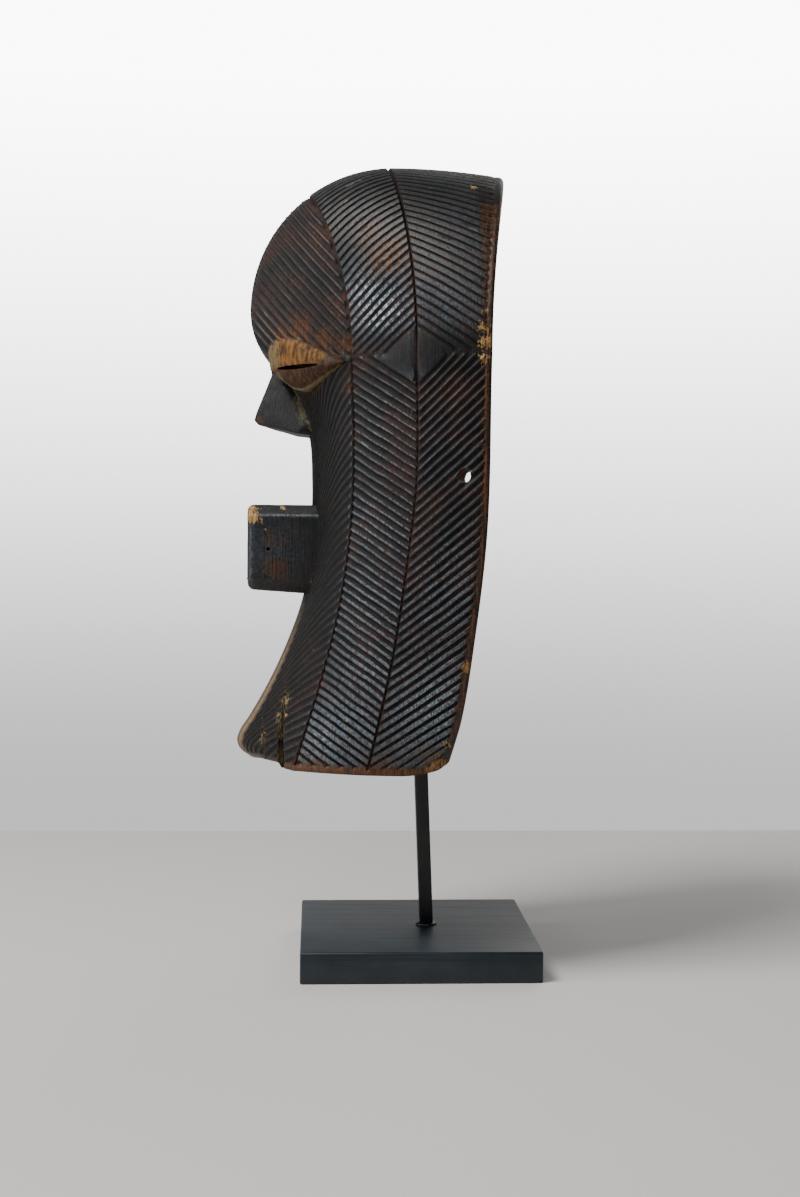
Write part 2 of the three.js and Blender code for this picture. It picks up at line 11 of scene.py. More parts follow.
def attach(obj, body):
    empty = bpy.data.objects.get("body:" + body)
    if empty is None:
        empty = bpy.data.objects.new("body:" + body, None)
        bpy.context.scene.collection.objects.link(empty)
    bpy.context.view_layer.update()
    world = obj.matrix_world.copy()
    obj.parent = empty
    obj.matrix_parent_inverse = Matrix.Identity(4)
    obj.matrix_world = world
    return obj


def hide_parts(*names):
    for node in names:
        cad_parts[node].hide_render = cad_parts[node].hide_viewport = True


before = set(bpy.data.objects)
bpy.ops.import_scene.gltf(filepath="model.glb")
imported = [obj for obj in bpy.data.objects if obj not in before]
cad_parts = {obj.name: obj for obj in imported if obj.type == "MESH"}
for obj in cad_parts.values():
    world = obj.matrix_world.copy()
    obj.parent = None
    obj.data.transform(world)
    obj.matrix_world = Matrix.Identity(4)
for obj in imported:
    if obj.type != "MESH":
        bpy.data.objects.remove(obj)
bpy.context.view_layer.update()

# Base
# A square board, sawn and sanded, its edges just eased, under brushed coats of satin black paint.
# It lies flat on its whole underside and carries the bar at its middle.
MM = 0.001
BASE_SIDE = 138.0
BASE_THICK = 18.0
BASE_EASE = 1.1
NICK_AT = (69.0, 68.0, 1.0)
NICK_SIZE = 3.2
STREAK_WIDTH = 0.7 * MM
STREAK_LENGTH = 60 * MM
PAINT_IOR = 1.48


def linear(code):
    """An sRGB hex colour as the linear RGBA that the shaders take."""
    parts = [int(code[i : i + 2], 16) / 255 for i in (1, 3, 5)]
    return tuple(c / 12.92 if c <= 0.04045 else ((c + 0.055) / 1.055) ** 2.4 for c in parts) + (1.0,)


def feed(material, node, inputs):
    """Gives a node its inputs, which are values or other nodes' outputs."""
    for name, value in inputs.items():
        if isinstance(value, bpy.types.NodeSocket):
            material.node_tree.links.new(value, node.inputs[name])
        else:
            node.inputs[name].default_value = value


def add(material, kind, inputs, out=0, ramp=(), **settings):
    """One more node of a material, with its inputs, the stops of its colour ramp and its own settings.
    Gives back one of its outputs."""
    node = material.node_tree.nodes.new("ShaderNode" + kind)
    for name, value in settings.items():
        setattr(node, name, value)
    feed(material, node, inputs)
    for i, (position, code) in enumerate(ramp):
        node.color_ramp.elements[i].position = position
        node.color_ramp.elements[i].color = linear(code)
    return node.outputs[out]


def started(name):
    """A new material, its shader and its Object coordinates."""
    material = bpy.data.materials.new(name)
    material.use_nodes = True
    return material, material.node_tree.nodes["Principled BSDF"], add(material, "TexCoord", {}, "Object")


def block(size, centre):
    """The mesh of a box."""
    bm = bmesh.new()
    bmesh.ops.create_cube(bm, size=1.0)
    bmesh.ops.scale(bm, vec=size, verts=bm.verts)
    bmesh.ops.translate(bm, vec=centre, verts=bm.verts)
    return bm


def bevel(bm, edges, offset, segments):
    """Rounds off edges, or chamfers them with one segment."""
    round_off = {"affect": "EDGES", "profile": 0.5, "material": -1}
    bmesh.ops.bevel(bm, geom=edges, offset=offset, segments=segments, **round_off)


def from_bmesh(name, bm, materials):
    """An object at the origin with the mesh of bm, which is in millimetres."""
    bmesh.ops.recalc_face_normals(bm, faces=bm.faces)
    bmesh.ops.scale(bm, vec=(MM, MM, MM), verts=bm.verts)
    mesh = bpy.data.meshes.new(name)
    bm.to_mesh(mesh)
    bm.free()
    for material in materials:
        mesh.materials.append(material)
    piece = bpy.data.objects.new(name, mesh)
    bpy.context.scene.collection.objects.link(piece)
    return piece


def worked(piece, tools, operation):
    """Joins the tools' shapes to a piece or cuts them out of it, in one closed mesh."""
    for tool in tools:
        step = piece.modifiers.new("work", "BOOLEAN")
        step.operation = operation
        step.solver = "MANIFOLD"
        step.object = tool
        step.material_mode = "TRANSFER"
    graph = bpy.context.evaluated_depsgraph_get()
    piece.data = bpy.data.meshes.new_from_object(piece.evaluated_get(graph))
    piece.modifiers.clear()
    for tool in tools:
        bpy.data.objects.remove(tool)


def finished(piece, node, crease):
    """Smooth shading up to the crease angle, then the piece rides on the stand in its node's place."""
    piece.data.shade_smooth()
    piece.data.set_sharp_from_angle(angle=math.radians(crease))
    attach(piece, "root")
    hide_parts(node)


# Painted board: brushed black paint over close-grained wood. Fine streaks run along the brush. The film is
# satin, a little blue, and greyer where it is rubbed.
board_paint, shader, place = started("brushed_black_paint_on_board")
brushed = (1 / STREAK_WIDTH, 1 / STREAK_LENGTH, 1 / STREAK_WIDTH)
across = add(board_paint, "Mapping", {"Vector": place, "Scale": brushed})
streaks = add(board_paint, "TexNoise", {"Vector": across, "Scale": 1.0, "Detail": 4.0})
clouds = add(board_paint, "TexNoise", {"Vector": place, "Scale": 1 / (22 * MM), "Detail": 3.0})
film = add(board_paint, "Math", {0: streaks, 1: clouds}, operation="MULTIPLY")
tone = add(board_paint, "ValToRGB", {"Fac": film}, ramp=((0.12, "#0b141b"), (0.42, "#1e2a34")))
rubbing = {"Value": streaks, "From Min": 0.3, "From Max": 0.7, "To Min": 0.3, "To Max": 0.48}
gloss = add(board_paint, "MapRange", rubbing)
relief = add(board_paint, "Bump", {"Height": streaks, "Strength": 0.35, "Distance": 0.12 * MM})
feed(board_paint, shader, {"Base Color": tone, "Roughness": gloss, "Normal": relief, "IOR": PAINT_IOR})

bm = block((BASE_SIDE, BASE_SIDE, BASE_THICK), (0, 0, BASE_THICK / 2))
bevel(bm, bm.edges, BASE_EASE, 3)
stand_base = from_bmesh("stand_base_board", bm, [board_paint])

bm = bmesh.new()
bmesh.ops.create_icosphere(bm, subdivisions=2, radius=NICK_SIZE)
bmesh.ops.scale(bm, vec=(0.35, 1.0, 0.6), verts=bm.verts)
bmesh.ops.translate(bm, vec=NICK_AT, verts=bm.verts)
worked(stand_base, [from_bmesh("nick", bm, [])], "DIFFERENCE")
finished(stand_base, "stand_base", 50)

# Bar
# A square steel bar, painted satin black, leaning a little forward as it rises into the hollow of the mask.
# A small bead of weld closes its foot on the board.
BAR_SIDE = 8.0
BAR_EASE = 0.7
BAR_FOOT_Y = 6.7
BAR_LEAN = 0.0418
BAR_TOP = 457.6
BAR_FOOT = 18.3
BEAD_RADIUS = 6.2
BEAD_HEIGHT = 2.4
BEAD_LUMP = 0.14

# Painted steel: black paint sprayed thin, with soft patches of more and less shine and a faint grain.
bar_paint, shader, place = started("satin_black_paint_on_steel")
runs = add(bar_paint, "TexNoise", {"Vector": place, "Scale": 1 / (1.6 * MM), "Detail": 3.0})
patches = add(bar_paint, "TexNoise", {"Vector": place, "Scale": 1 / (14 * MM), "Detail": 2.0})
tone = add(bar_paint, "ValToRGB", {"Fac": patches}, ramp=((0.35, "#04080c"), (0.7, "#0a1218")))
shine = {"Value": patches, "From Min": 0.35, "From Max": 0.65, "To Min": 0.34, "To Max": 0.5}
gloss = add(bar_paint, "MapRange", shine)
relief = add(bar_paint, "Bump", {"Height": runs, "Strength": 0.3, "Distance": 0.1 * MM})
feed(bar_paint, shader, {"Base Color": tone, "Roughness": gloss, "Normal": relief, "IOR": PAINT_IOR})

bm = block((BAR_SIDE, BAR_SIDE, BAR_TOP - BAR_FOOT), (0, BAR_FOOT_Y, (BAR_TOP + BAR_FOOT) / 2))
bevel(bm, bm.edges, BAR_EASE, 3)
for v in bm.verts:
    v.co.y -= BAR_LEAN * (v.co.z - BAR_FOOT)
stand_bar = from_bmesh("stand_bar_steel", bm, [bar_paint])

bm = bmesh.new()
bmesh.ops.create_uvsphere(bm, u_segments=32, v_segments=16, radius=1.0)
for v in bm.verts:
    reach = BEAD_RADIUS * (1 + BEAD_LUMP * noise.noise(Vector((v.co.x * 1.7, v.co.y * 1.7, 3.1))))
    v.co = Vector((v.co.x * reach, v.co.y * reach, max(v.co.z, 0) * BEAD_HEIGHT))
bmesh.ops.remove_doubles(bm, verts=bm.verts, dist=0.001)
bmesh.ops.translate(bm, vec=(0, BAR_FOOT_Y, BAR_FOOT), verts=bm.verts)
bmesh.ops.dissolve_limit(bm, angle_limit=0.001, verts=bm.verts, edges=bm.edges)
worked(stand_bar, [from_bmesh("bead", bm, [])], "UNION")
finished(stand_bar, "stand_bar", 40)

# Mask
# Carved from one block of light hardwood with adze and knife, hollow behind, then darkened by hand and smoke.
# Its skin is cut in rows of grooves that meet in herringbones along two long carved lines. Sizes are in
# millimetres, +Z is up, the face looks along -Y and +X is the mask's own left.
EYE = 353.0
BOTTOM = 118.5
WALL = 11.0
DOME_Y = -17.0
DOME_Z = 385.5
DOME_REACH = 84.0
DOME_RISE = 84.95
BROW_DROP = 60.0
CROWN = 90.0
CROWN_FALL = 5.0
CROWN_EYE_LINE = -67.0
CROWN_SIDE = -21.0
CROWN_BACK = 48.0
SIDE_BULGE = 1.7

# The face on the middle plane, by level and depth, and the hollow behind it.
FACE = [(353, -87.6), (335, -74.5), (316, -66.7), (285, -63.8), (250, -65), (217, -68.8), (189, -78.3)]
CHIN = [(160, -91.9), (145, -100.5), (135, -106.7), (130, -107.9), (124, -105), (118.5, -97)]
BEHIND_FACE = [(353, -78.4), (316, -55.5), (285, -52.5), (217, -57)]
BEHIND_CHIN = [(189, -66), (160, -78), (140, -85), (118.5, -86)]

# The long carved lines: beside the eye, down the middle of the side, and along the back rim.
EYE_LINE_X = [(353, 65), (250, 63), (200, 60), (150, 55), (118.5, 52)]
EYE_LINE_Y = [(353, -42.5), (312, -41), (262, -42), (212, -48.5), (163, -60.5), (118.5, -74)]
SIDE_LINE_X = [(353, 87), (250, 86), (200, 82.5), (150, 77), (118.5, 73)]
SIDE_LINE_Y = [(353, -7), (277, -7), (240, -11), (185, -18.7), (118.5, -32.5)]
RIM_X = [(353, 94.95), (250, 92), (200, 88), (150, 82), (118.5, 76)]
RIM_Y = [(353, 34), (240, 31.5), (198, 27), (152, 20.5), (118.5, 13)]


def mix(a, b, t):
    return a + (b - a) * t


def rise(value, start, end):
    """How far a value has come from a start to an end, from 0 to 1."""
    return np.clip((value - start) / (end - start), 0, 1)


def through(stations):
    """A smooth curve through a few (level, value) stations."""
    level, value = np.array(sorted(stations), float).T
    span = np.diff(level)
    chord = np.diff(value) / span
    inner = (chord[:-1] * span[1:] + chord[1:] * span[:-1]) / (span[1:] + span[:-1])
    slope = np.concatenate([chord[:1], inner, chord[-1:]])

    def curve(at):
        at = np.clip(at, level[0], level[-1])
        i = np.clip(np.searchsorted(level, at, side="right") - 1, 0, len(span) - 1)
        q = (at - level[i]) / span[i]
        p = 1 - q
        start = value[i] * (1 + 2 * q) * p * p + slope[i] * span[i] * q * p * p
        end = value[i + 1] * q * q * (3 - 2 * q) - slope[i + 1] * span[i] * q * q * p
        return start + end

    return curve


class Form:
    """The skin of the mask, or of its hollow when it is set in from it.
    Its sheets turn two measures into points."""

    def __init__(self, inset):
        self.face = through(BEHIND_FACE + BEHIND_CHIN if inset else FACE + CHIN)
        self.reach = DOME_REACH - inset
        self.rise = DOME_RISE - inset
        self.lines = (
            (through(EYE_LINE_X), through(EYE_LINE_Y), 0.72 * inset, 0.72 * inset),
            (through(SIDE_LINE_X), through(SIDE_LINE_Y), 0.9 * inset, 0.35 * inset),
            (through(RIM_X), through(RIM_Y), 0.75 * inset, 0.0),
        )
        self.crown_y = (0.55 * inset + CROWN_EYE_LINE, CROWN_SIDE, CROWN_BACK)
        self.top = float(self.crown(self.crown_y[0]))

    def front(self, z):
        part = np.where(z > DOME_Z, (z - DOME_Z) / self.rise, (DOME_Z - z) / BROW_DROP)
        dome = DOME_Y - self.reach * np.sqrt(np.clip(1 - part * part, 0, 1))
        return np.where(z < EYE, self.face(z), dome)

    def crown(self, y):
        fore = DOME_Z + self.rise * np.sqrt(np.clip(1 - ((y - DOME_Y) / self.reach) ** 2, 0, 1))
        back = DOME_Z + self.rise - CROWN_FALL * ((y - DOME_Y) / (CROWN_BACK - DOME_Y)) ** 2
        return np.where(y < DOME_Y, fore, back)

    def line(self, n, z):
        x, y, in_x, in_y = self.lines[n]
        return x(z) - in_x, y(z) + in_y

    def between(self, w, z):
        """Where a level crosses the side.
        w is 1 at the line beside the eye, 2 at the side line and 3 at the rim."""
        (ax, ay), (bx, by), (rx, ry) = (self.line(n, z) for n in range(3))
        front = w < 2
        u = np.where(front, w - 1, w - 2)
        x, y = np.where(front, ax, bx), np.where(front, ay, by)
        run_x, run_y = np.where(front, bx - ax, rx - bx), np.where(front, by - ay, ry - by)
        swell = SIDE_BULGE * np.sin(np.pi * u) / np.hypot(run_x, run_y)
        return x + run_x * u + swell * run_y, y + run_y * u - swell * run_x

    def side_low(self, w, z):
        x, y = self.between(w, z)
        return np.stack([x, y, z], -1)

    def side_top(self, w, lift):
        x, y = self.between(w, np.full_like(w, EYE))
        a, b, r = self.crown_y
        over = np.where(w < 2, mix(a, b, w - 1), mix(b, r, w - 2))
        s, c = np.sin(np.radians(lift)), np.cos(np.radians(lift))
        return np.stack([x * c, mix(y, over, s * s), mix(EYE, self.crown(over), s)], -1)

    def cheek(self, t, z):
        x, y = self.line(0, z)
        return np.stack([x * t, mix(self.front(z), y, t * t), z], -1)

    def forehead(self, x, z):
        up = np.clip((z - EYE) / (self.top - EYE), 0, 1 - 1e-9)
        edge, side = self.line(0, EYE)
        near = np.minimum(1, (x / (edge * np.sqrt(1 - up * up))) ** 2)
        return np.stack([x, mix(self.front(z), mix(side, self.crown_y[0], up * up), near), z], -1)


skin = Form(0.0)
hollow = Form(WALL)


def sunk(sheet, a, b, depth):
    """Points of a sheet, pushed into the wood by a depth."""
    e = 0.01
    p = sheet(a, b)
    n = np.cross(sheet(a + e, b) - sheet(a - e, b), sheet(a, b + e) - sheet(a, b - e))
    n /= np.maximum(np.linalg.norm(n, axis=1), 1e-12)[:, None]
    outward = p - np.stack([0 * a, 0 * a + 20, np.minimum(p[:, 2], DOME_Z)], -1)
    inward = np.where((n * outward).sum(1) > 0, -1, 1) * depth
    p = p + n * inward[:, None]
    p[np.abs(p[:, 0]) < 1e-6, 0] = 0
    return p


# Grooves: their depth, and the depth, wall and half width of the long carved lines.
GROOVE = 1.45
LINE_DEPTH = 1.8
LINE_SHALLOW = 0.9
LINE_WALL = 0.45
LINE_HALF = 0.95
WALL_SHARE = 0.85

# The pitch of the cuts in each panel, how deep they go as a share of GROOVE, and the half width of the ridges
# as a share of the pitch, by level or by lift above the eyes.
CHEEK_PITCH, FRONT_PITCH, BACK_PITCH, TOP_PITCH, FOREHEAD_PITCH = 5.9, 5.15, 5.4, 4.7, 6.0
CHEEK_BITE, BACK_BITE, TOP_BITE = 0.5, 0.78, 0.6
CHEEK_RIDGE = ((0, 0.15),)
SIDE_RIDGE = ((130, 0.28), (190, 0.17), (300, 0.07))
FORE_RIDGE = ((20, 0.2), (45, 0.28))
AFT_RIDGE = ((0, 0.3),)
FOREHEAD_RIDGE = ((0, 0.1),)

# How steeply the rows run: rise or fall for each millimetre back, and the lean of the upper rows in degrees.
FRONT_FALL = 0.67
BACK_LOW_RISE = 0.62
BACK_HIGH_RISE = 1.02
CHEEK_DROP = 40.0
CHEEK_CURL = 0.8
CHEEK_TURN = 275.0
CHEEK_STEEPER = 0.45
CHEEK_STEEPEST = 110.0
TOP_LEAN_FORE = 17.0
TOP_LEAN_AFT = 13.5
FOREHEAD_FALL_BACK = 0.95
FOREHEAD_FALL_OUT = 0.25

# How far past a panel's ends the rows begin or end, so that slanting ones fill its corners.
CHEEK_OVER = 172.0
FRONT_UNDER = 47.0
BACK_UNDER = 14.0
FOREHEAD_FROM = 6.0
FOREHEAD_TO = 190.0

# Plain strips: the border, the gap at the eye level, the middle of the face, the chin, and the smooth diamond
# at the eye level on both sides of the side line.
BORDER = 3.5
EYE_GAP = 1.4
BAND_HALF = 5.5
CHIN_BAND = 0.33
MOUTH_LOW = 219.5
DIAMOND_LOW = 15.0
DIAMOND_HIGH = 7.0
DIAMOND_EDGE = 0.04

# The panels' widths, and the half width and height of the arch that the side line makes over the crown. Then
# how long a row is for one unit across, and the spacing of the points along it.
FRONT_WIDE, BACK_WIDE, TOP_WIDE, RIM_WIDE = 47.0, 42.0, 48.0, 60.0
FRONT_SPREAD = 45.0
SIDE_ARCH = (87.0, 117.0)
CHEEK_RUN, SIDE_RUN, TOP_RUN, FOREHEAD_RUN = 90, 50, 55, 1.45
STEP_ALONG = 2.45
FINE = 301
LOW = BOTTOM + BORDER
TOP = EYE - EYE_GAP
FOOT = LOW + 1.5
RIM_W = 3 - BORDER / BACK_WIDE
SPAN = (FOOT, TOP)
LIFTS = (1.0, CROWN - 0.5)


def cuts(first, last, pitch, ridge):
    """Levels across a run of grooves with how deep each is cut.
    Ridge, shoulder, wall and floor come again and again."""
    half = max(2, round(abs(last - first) / pitch * 2))
    step = 2 * (last - first) / half
    found = []
    for i in range((half + 1) // 2):
        at = first + step * i
        r = float(np.interp(at, *zip(*ridge)))
        down = ((0, 0), (r, 0.08), (r + 0.07, 0.55), (0.39, 1))
        back_up = ((0.61, 1), (0.93 - r, 0.55), (1 - r, 0.08))
        for phase, deep in down + back_up:
            if i * 2 + phase * 2 <= half + 1e-6:
                found.append((at + step * phase, deep))
    if half % 2 == 0:
        found.append((last, 0))
    return found


def rows_of(levels, place, ends, heights, run, start=0):
    """Points along each cut between two ends and two heights.
    place gives the height of a cut on its way across."""
    rows = []
    for at, deep in levels:
        across = np.linspace(*ends, FINE)
        height = place(across, at)
        inside = across[(height >= heights[0]) & (height <= heights[1])]
        if len(inside) > 3:
            count = max(2, math.ceil((inside[-1] - inside[0]) * run / STEP_ALONG) + 1)
            q = np.linspace(inside[0], inside[-1], count)
            rows.append((start + q, np.interp(q, across, height), np.full_like(q, deep)))
    return rows


def rumple(a, b, wide, tall, seed):
    """Smooth unevenness at places on a panel, from -1 to 1, with lumps of this width and height."""
    return np.array([noise.noise(Vector((x / wide, y / tall, seed))) for x, y in zip(a, b)])


# The foot's back corner, where the ridges are worn down: how far up and forward that reaches, and how much.
WORN_UP = 20.0
WORN_FORWARD = 36.0
WORN_SHARE = 0.6


def corner_wear(points):
    """How far the ridges are worn down towards the foot's back corner."""
    _, y, z = points.T
    return WORN_SHARE * rise(z, BOTTOM + WORN_UP, BOTTOM + 4) * rise(y, -WORN_FORWARD, 0)


def fill(sheet, spread, rim, rows, side, stray, bite=1.0):
    """Triangles for one panel: its rim is a closed loop of shared points, and its rows are cuts inside it.
    The cuts stray from their course, and their ridges are chipped, as hand work is."""
    flat = [Vector((a * spread[0], b * spread[1])) for a, b in zip(rim[0], rim[1])]
    edges = [(i, (i + 1) % len(flat)) for i in range(len(flat))]
    a, b, deep = (np.concatenate(part) for part in zip(*rows))
    x = a * spread[0]
    slow = rumple(x, b * spread[1], 17, 11, 40.0 * side)
    b = b + stray / spread[1] * (slow + 0.4 * rumple(x, b * spread[1], 5, 3.2, 50.0 * side))
    deep = deep * (1 - corner_wear(sunk(sheet, a, b, 0 * b)))
    y = b * spread[1]
    start = len(flat)
    flat += [Vector(place) for place in zip(x, y)]
    for row in rows:
        edges += [(i, i + 1) for i in range(start, start + len(row[0]) - 1)]
        start += len(row[0])
    _, _, faces, source, _, _ = geometry.delaunay_2d_cdt(flat, edges, [], 1, 1e-5)
    chip = np.clip(rumple(x, y, 2.6, 1.9, 9.0 * side) - 0.42, 0, 1) * 0.9
    depth = bite * deep * GROOVE * (1 + 0.25 * rumple(x, y, 9, 6, 5.0 * side)) + chip * (1 - deep)
    points = np.concatenate([rim[2], sunk(sheet, a, b, depth)]) * (side, 1, 1)
    carved = np.concatenate([rim[3], deep])
    order = [s[0] for s in source]
    return points[order], carved[order], faces


# The two back corners of the rim are rounded off, at the crown and at the foot: depth, level and radius.
CROWN_CORNER = (40.2, 460.0, 6.5)
FOOT_CORNER = (3.6, BOTTOM + 13.0, 13.0)

# The foot: the piece of the chin in front of the crack has shrunk up, and the edge rises a little behind.
CHIN_STEP = 2.8
CHIN_SPLIT_Y = -81.3
CHIN_SPLIT_X = 25.0
HEEL_RISE = 4.4
HEEL_FROM, HEEL_TO = -14.0, 11.0
FOOT_REACH = 30.0


def eased(points):
    """The same points, with those that stand out past a rounded corner drawn in to it."""
    points = points.copy()
    for (y, z, radius), up in ((CROWN_CORNER, 1), (FOOT_CORNER, -1)):
        back = points[:, 1] - y
        out = (points[:, 2] - z) * up
        far = np.hypot(back, out)
        share = np.where((back > 0) & (out > 0) & (far > radius), radius / np.maximum(far, radius), 1)
        points[:, 1] = y + back * share
        points[:, 2] = z + out * share * up
    return points


def settled(points):
    """The same points, with the foot's edge drawn up on the left of the chin and at the back."""
    x, y, z = points.T
    ahead = rise(y, CHIN_SPLIT_Y + 0.75, CHIN_SPLIT_Y - 0.75) * rise(x, 0, CHIN_SPLIT_X)
    heel = rise(y, HEEL_FROM, HEEL_TO) ** 2
    drawn_up = (CHIN_STEP * ahead + HEEL_RISE * heel) * rise(z, BOTTOM + FOOT_REACH, BOTTOM)
    return np.stack([x, y, z + drawn_up], -1)


def joined(*chains):
    """Chains of rim points, laid end to end."""
    return tuple(np.concatenate([c[k] for c in chains]) for k in range(4))


def chain(sheet, a, b, depth, carved):
    """A row of rim points: their measures, their places and how deeply they are carved."""
    a, b = np.broadcast_arrays(np.asarray(a, float), np.asarray(b, float))
    return a, b, sunk(sheet, a, b, np.broadcast_to(depth, a.shape)), carved + 0.0 * a


def turned(c):
    return tuple(part[::-1] for part in c)


def with_measures(c, a, b):
    """The same rim points, measured on another sheet."""
    return np.broadcast_to(a, c[0].shape), np.broadcast_to(b, c[0].shape), c[2], c[3]


def loop(*chains):
    """A closed rim, without the points that two chains share."""
    return joined(*[tuple(part[:-1] for part in c) for c in chains])


def wall_of(depth, at, wide, along):
    """The steep wall of a carved line: a row beside it on a panel, almost as deep as the line itself."""
    return at + LINE_WALL / wide + 0 * along, along, WALL_SHARE * depth / GROOVE + 0 * along


# The crack that has opened along the side line near the crown, on the mask's left, and just over the crown.
CRACK_FOOT = {1: 30.0, -1: 78.0}
CRACK_OPEN = 3.4

# The rounded rim: how far out each ring of the border lies and how far it has dropped, then how far the last
# ones are drawn in to close the shell.
RIM_ROUND = ((0.3, 0.1), (0.55, 0.0), (0.75, 0.3), (0.9, 0.9), (0.98, 1.7), (1.0, 2.4))
RIM_CLOSED = (0.94, 0.87, 0.0)


def half_skin(side):
    """The outside of one half: side is 1 for the mask's left and -1 for its right."""
    z = np.linspace(EYE, LOW, 190)
    lift = np.linspace(0, CROWN, 132)
    t = np.linspace(0, 1, 40)
    crack = CRACK_OPEN * np.minimum(1, 1.6 * rise(lift, CRACK_FOOT[side], CROWN))
    near_eye = mix(LINE_SHALLOW, LINE_DEPTH, rise(z, EYE, EYE - DIAMOND_LOW))
    near_crown = mix(LINE_SHALLOW, LINE_DEPTH, rise(lift, 75, 50))
    over_eye = mix(LINE_SHALLOW, LINE_DEPTH, rise(lift, 0, DIAMOND_HIGH)) + crack
    line_a = chain(skin.side_low, 1, z, LINE_DEPTH, 1)
    line_b = chain(skin.side_low, 2, z, near_eye, 1)
    line_r = chain(skin.side_low, RIM_W, z, 0.4, 0)
    top_a = chain(skin.side_top, 1, lift, near_crown, 1)
    top_b = chain(skin.side_top, 2, lift, over_eye, 1)
    top_r = chain(skin.side_top, RIM_W, lift, 0.4, 0)
    middle = chain(skin.cheek, 0, z, 0.0, 0)
    for low, high in ((line_a, top_a), (line_b, top_b), (line_r, top_r)):
        high[2][0] = low[2][0]

    # The rows along the eye level, the foot and the crown, which tie the long lines together.
    to_side, from_side = rise(t, 0.75, 0.55), rise(t, 0.25, 0.45)
    to_rim = mix(2, RIM_W, t)
    eye_ab = chain(skin.side_low, 1 + t, EYE, 0.8 * to_side, 0.5 * to_side)
    eye_br = chain(skin.side_low, to_rim, EYE, 0.8 * from_side, 0.5 * from_side)
    eye_ma = chain(skin.cheek, t, EYE, 0.3, 0.2)
    foot_ab = chain(skin.side_low, 1 + t, LOW, 0.3, 0)
    foot_br = chain(skin.side_low, to_rim, LOW, 0.3, 0)
    foot_ma = chain(skin.cheek, t, LOW, 0.3, 0)
    crown_ab = chain(skin.side_top, 1 + t, CROWN, 0.2, 0)
    crown_br = chain(skin.side_top, to_rim, CROWN, 0.2, 0)
    for at, ties, lines in (
        (0, (eye_ma, eye_ab, eye_br), (middle, line_a, line_b, line_r)),
        (-1, (foot_ma, foot_ab, foot_br), (middle, line_a, line_b, line_r)),
        (-1, (crown_ab, crown_br), (top_a, top_b, top_r)),
    ):
        for tie, first, last in zip(ties, lines, lines[1:]):
            tie[2][0] = first[2][at]
            tie[2][-1] = last[2][at]
    for tie in (crown_ab, crown_br):
        tie[2][:, 0] = 0

    edge_x = skin.line(0, EYE)[0]
    side_y = skin.line(1, EYE)[1]
    height = np.clip(z, *SPAN)
    raised = np.clip(lift, *LIFTS)
    front_ends = (LINE_HALF / FRONT_WIDE, 1 - LINE_HALF / FRONT_WIDE)
    back_ends = (LINE_HALF / BACK_WIDE, RIM_W - 2 - LINE_HALF / RIM_WIDE)
    front_plain = (DIAMOND_EDGE, 1 - DIAMOND_EDGE)
    back_plain = (DIAMOND_EDGE + 0.005, back_ends[1])

    # Cheek and chin: chevrons that fall to the middle, inside the line beside the eye.
    def cheek_height(t, at):
        drop = CHEEK_DROP + np.clip(CHEEK_STEEPER * (at - CHEEK_TURN), 0, CHEEK_STEEPEST - CHEEK_DROP)
        height = at - drop * (1 - t) * (1 + CHEEK_CURL * (1 - t))
        return np.where((t < CHIN_BAND) & (height < MOUTH_LOW), 0, height)

    cheek_cuts = cuts(TOP + CHEEK_OVER, FOOT, CHEEK_PITCH, CHEEK_RIDGE)
    cheek_ends = (BAND_HALF / edge_x, 1 - LINE_HALF / edge_x)
    rows = rows_of(cheek_cuts, cheek_height, cheek_ends, SPAN, CHEEK_RUN)
    below_mouth, above_mouth = np.arange(FOOT, MOUTH_LOW, 3.0), np.arange(MOUTH_LOW + 3, TOP, 2.0)
    for shares, plain in (((0.08, 0.16, 0.24), below_mouth), ((0.03, 0.07), above_mouth)):
        rows += [(share + 0 * plain, plain, 0 * plain) for share in shares]
    rows.append(wall_of(LINE_DEPTH, 1, -edge_x, height))
    rim = loop(middle, foot_ma, turned(with_measures(line_a, 1.0, z)), turned(eye_ma))
    panels = [fill(skin.cheek, (edge_x, 1.0), rim, rows, side, 0.35, CHEEK_BITE)]

    # Front side panel: straight rows that fall from the line beside the eye to the side line.
    def front_height(q, at):
        z = at + 0 * q
        for _ in range(4):
            z = at - FRONT_FALL * (skin.between(1 + q, z)[1] - side_y)
        return z

    plain = [(at, 0.0) for at in np.arange(TOP, TOP - DIAMOND_LOW, -3.0)]
    front_cuts = cuts(TOP - DIAMOND_LOW, FOOT - FRONT_UNDER, FRONT_PITCH, SIDE_RIDGE)
    rows = rows_of(front_cuts, front_height, front_ends, SPAN, SIDE_RUN, 1)
    rows += rows_of(plain, front_height, front_plain, SPAN, SIDE_RUN, 1)
    rows.append(wall_of(LINE_DEPTH, 1, FRONT_WIDE, height))
    rows.append(wall_of(near_eye, 2, -FRONT_WIDE, height))
    rim = loop(line_a, foot_ab, turned(line_b), turned(eye_ab))
    panels.append(fill(skin.side_low, (FRONT_SPREAD, 1.0), rim, rows, side, 0.6))

    # Back side panel: the rows rise from the side line to the rim, more steeply near the eye level.
    def back_height(q, at):
        climb = np.interp(at, (120, 330), (BACK_LOW_RISE, BACK_HIGH_RISE))
        z = at + 0 * q
        for _ in range(4):
            z = at + climb * (skin.between(2 + q, z)[1] - side_y)
        return z

    back_cuts = cuts(TOP - DIAMOND_LOW, FOOT - BACK_UNDER, BACK_PITCH, SIDE_RIDGE)
    rows = rows_of(back_cuts, back_height, back_ends, SPAN, SIDE_RUN, 2)
    rows += rows_of(plain, back_height, back_plain, SPAN, SIDE_RUN, 2)
    rows.append(wall_of(near_eye, 2, BACK_WIDE, height))
    rim = loop(line_b, foot_br, turned(line_r), turned(eye_br))
    panels.append(fill(skin.side_low, (BACK_WIDE, 1.0), rim, rows, side, 0.35, BACK_BITE))

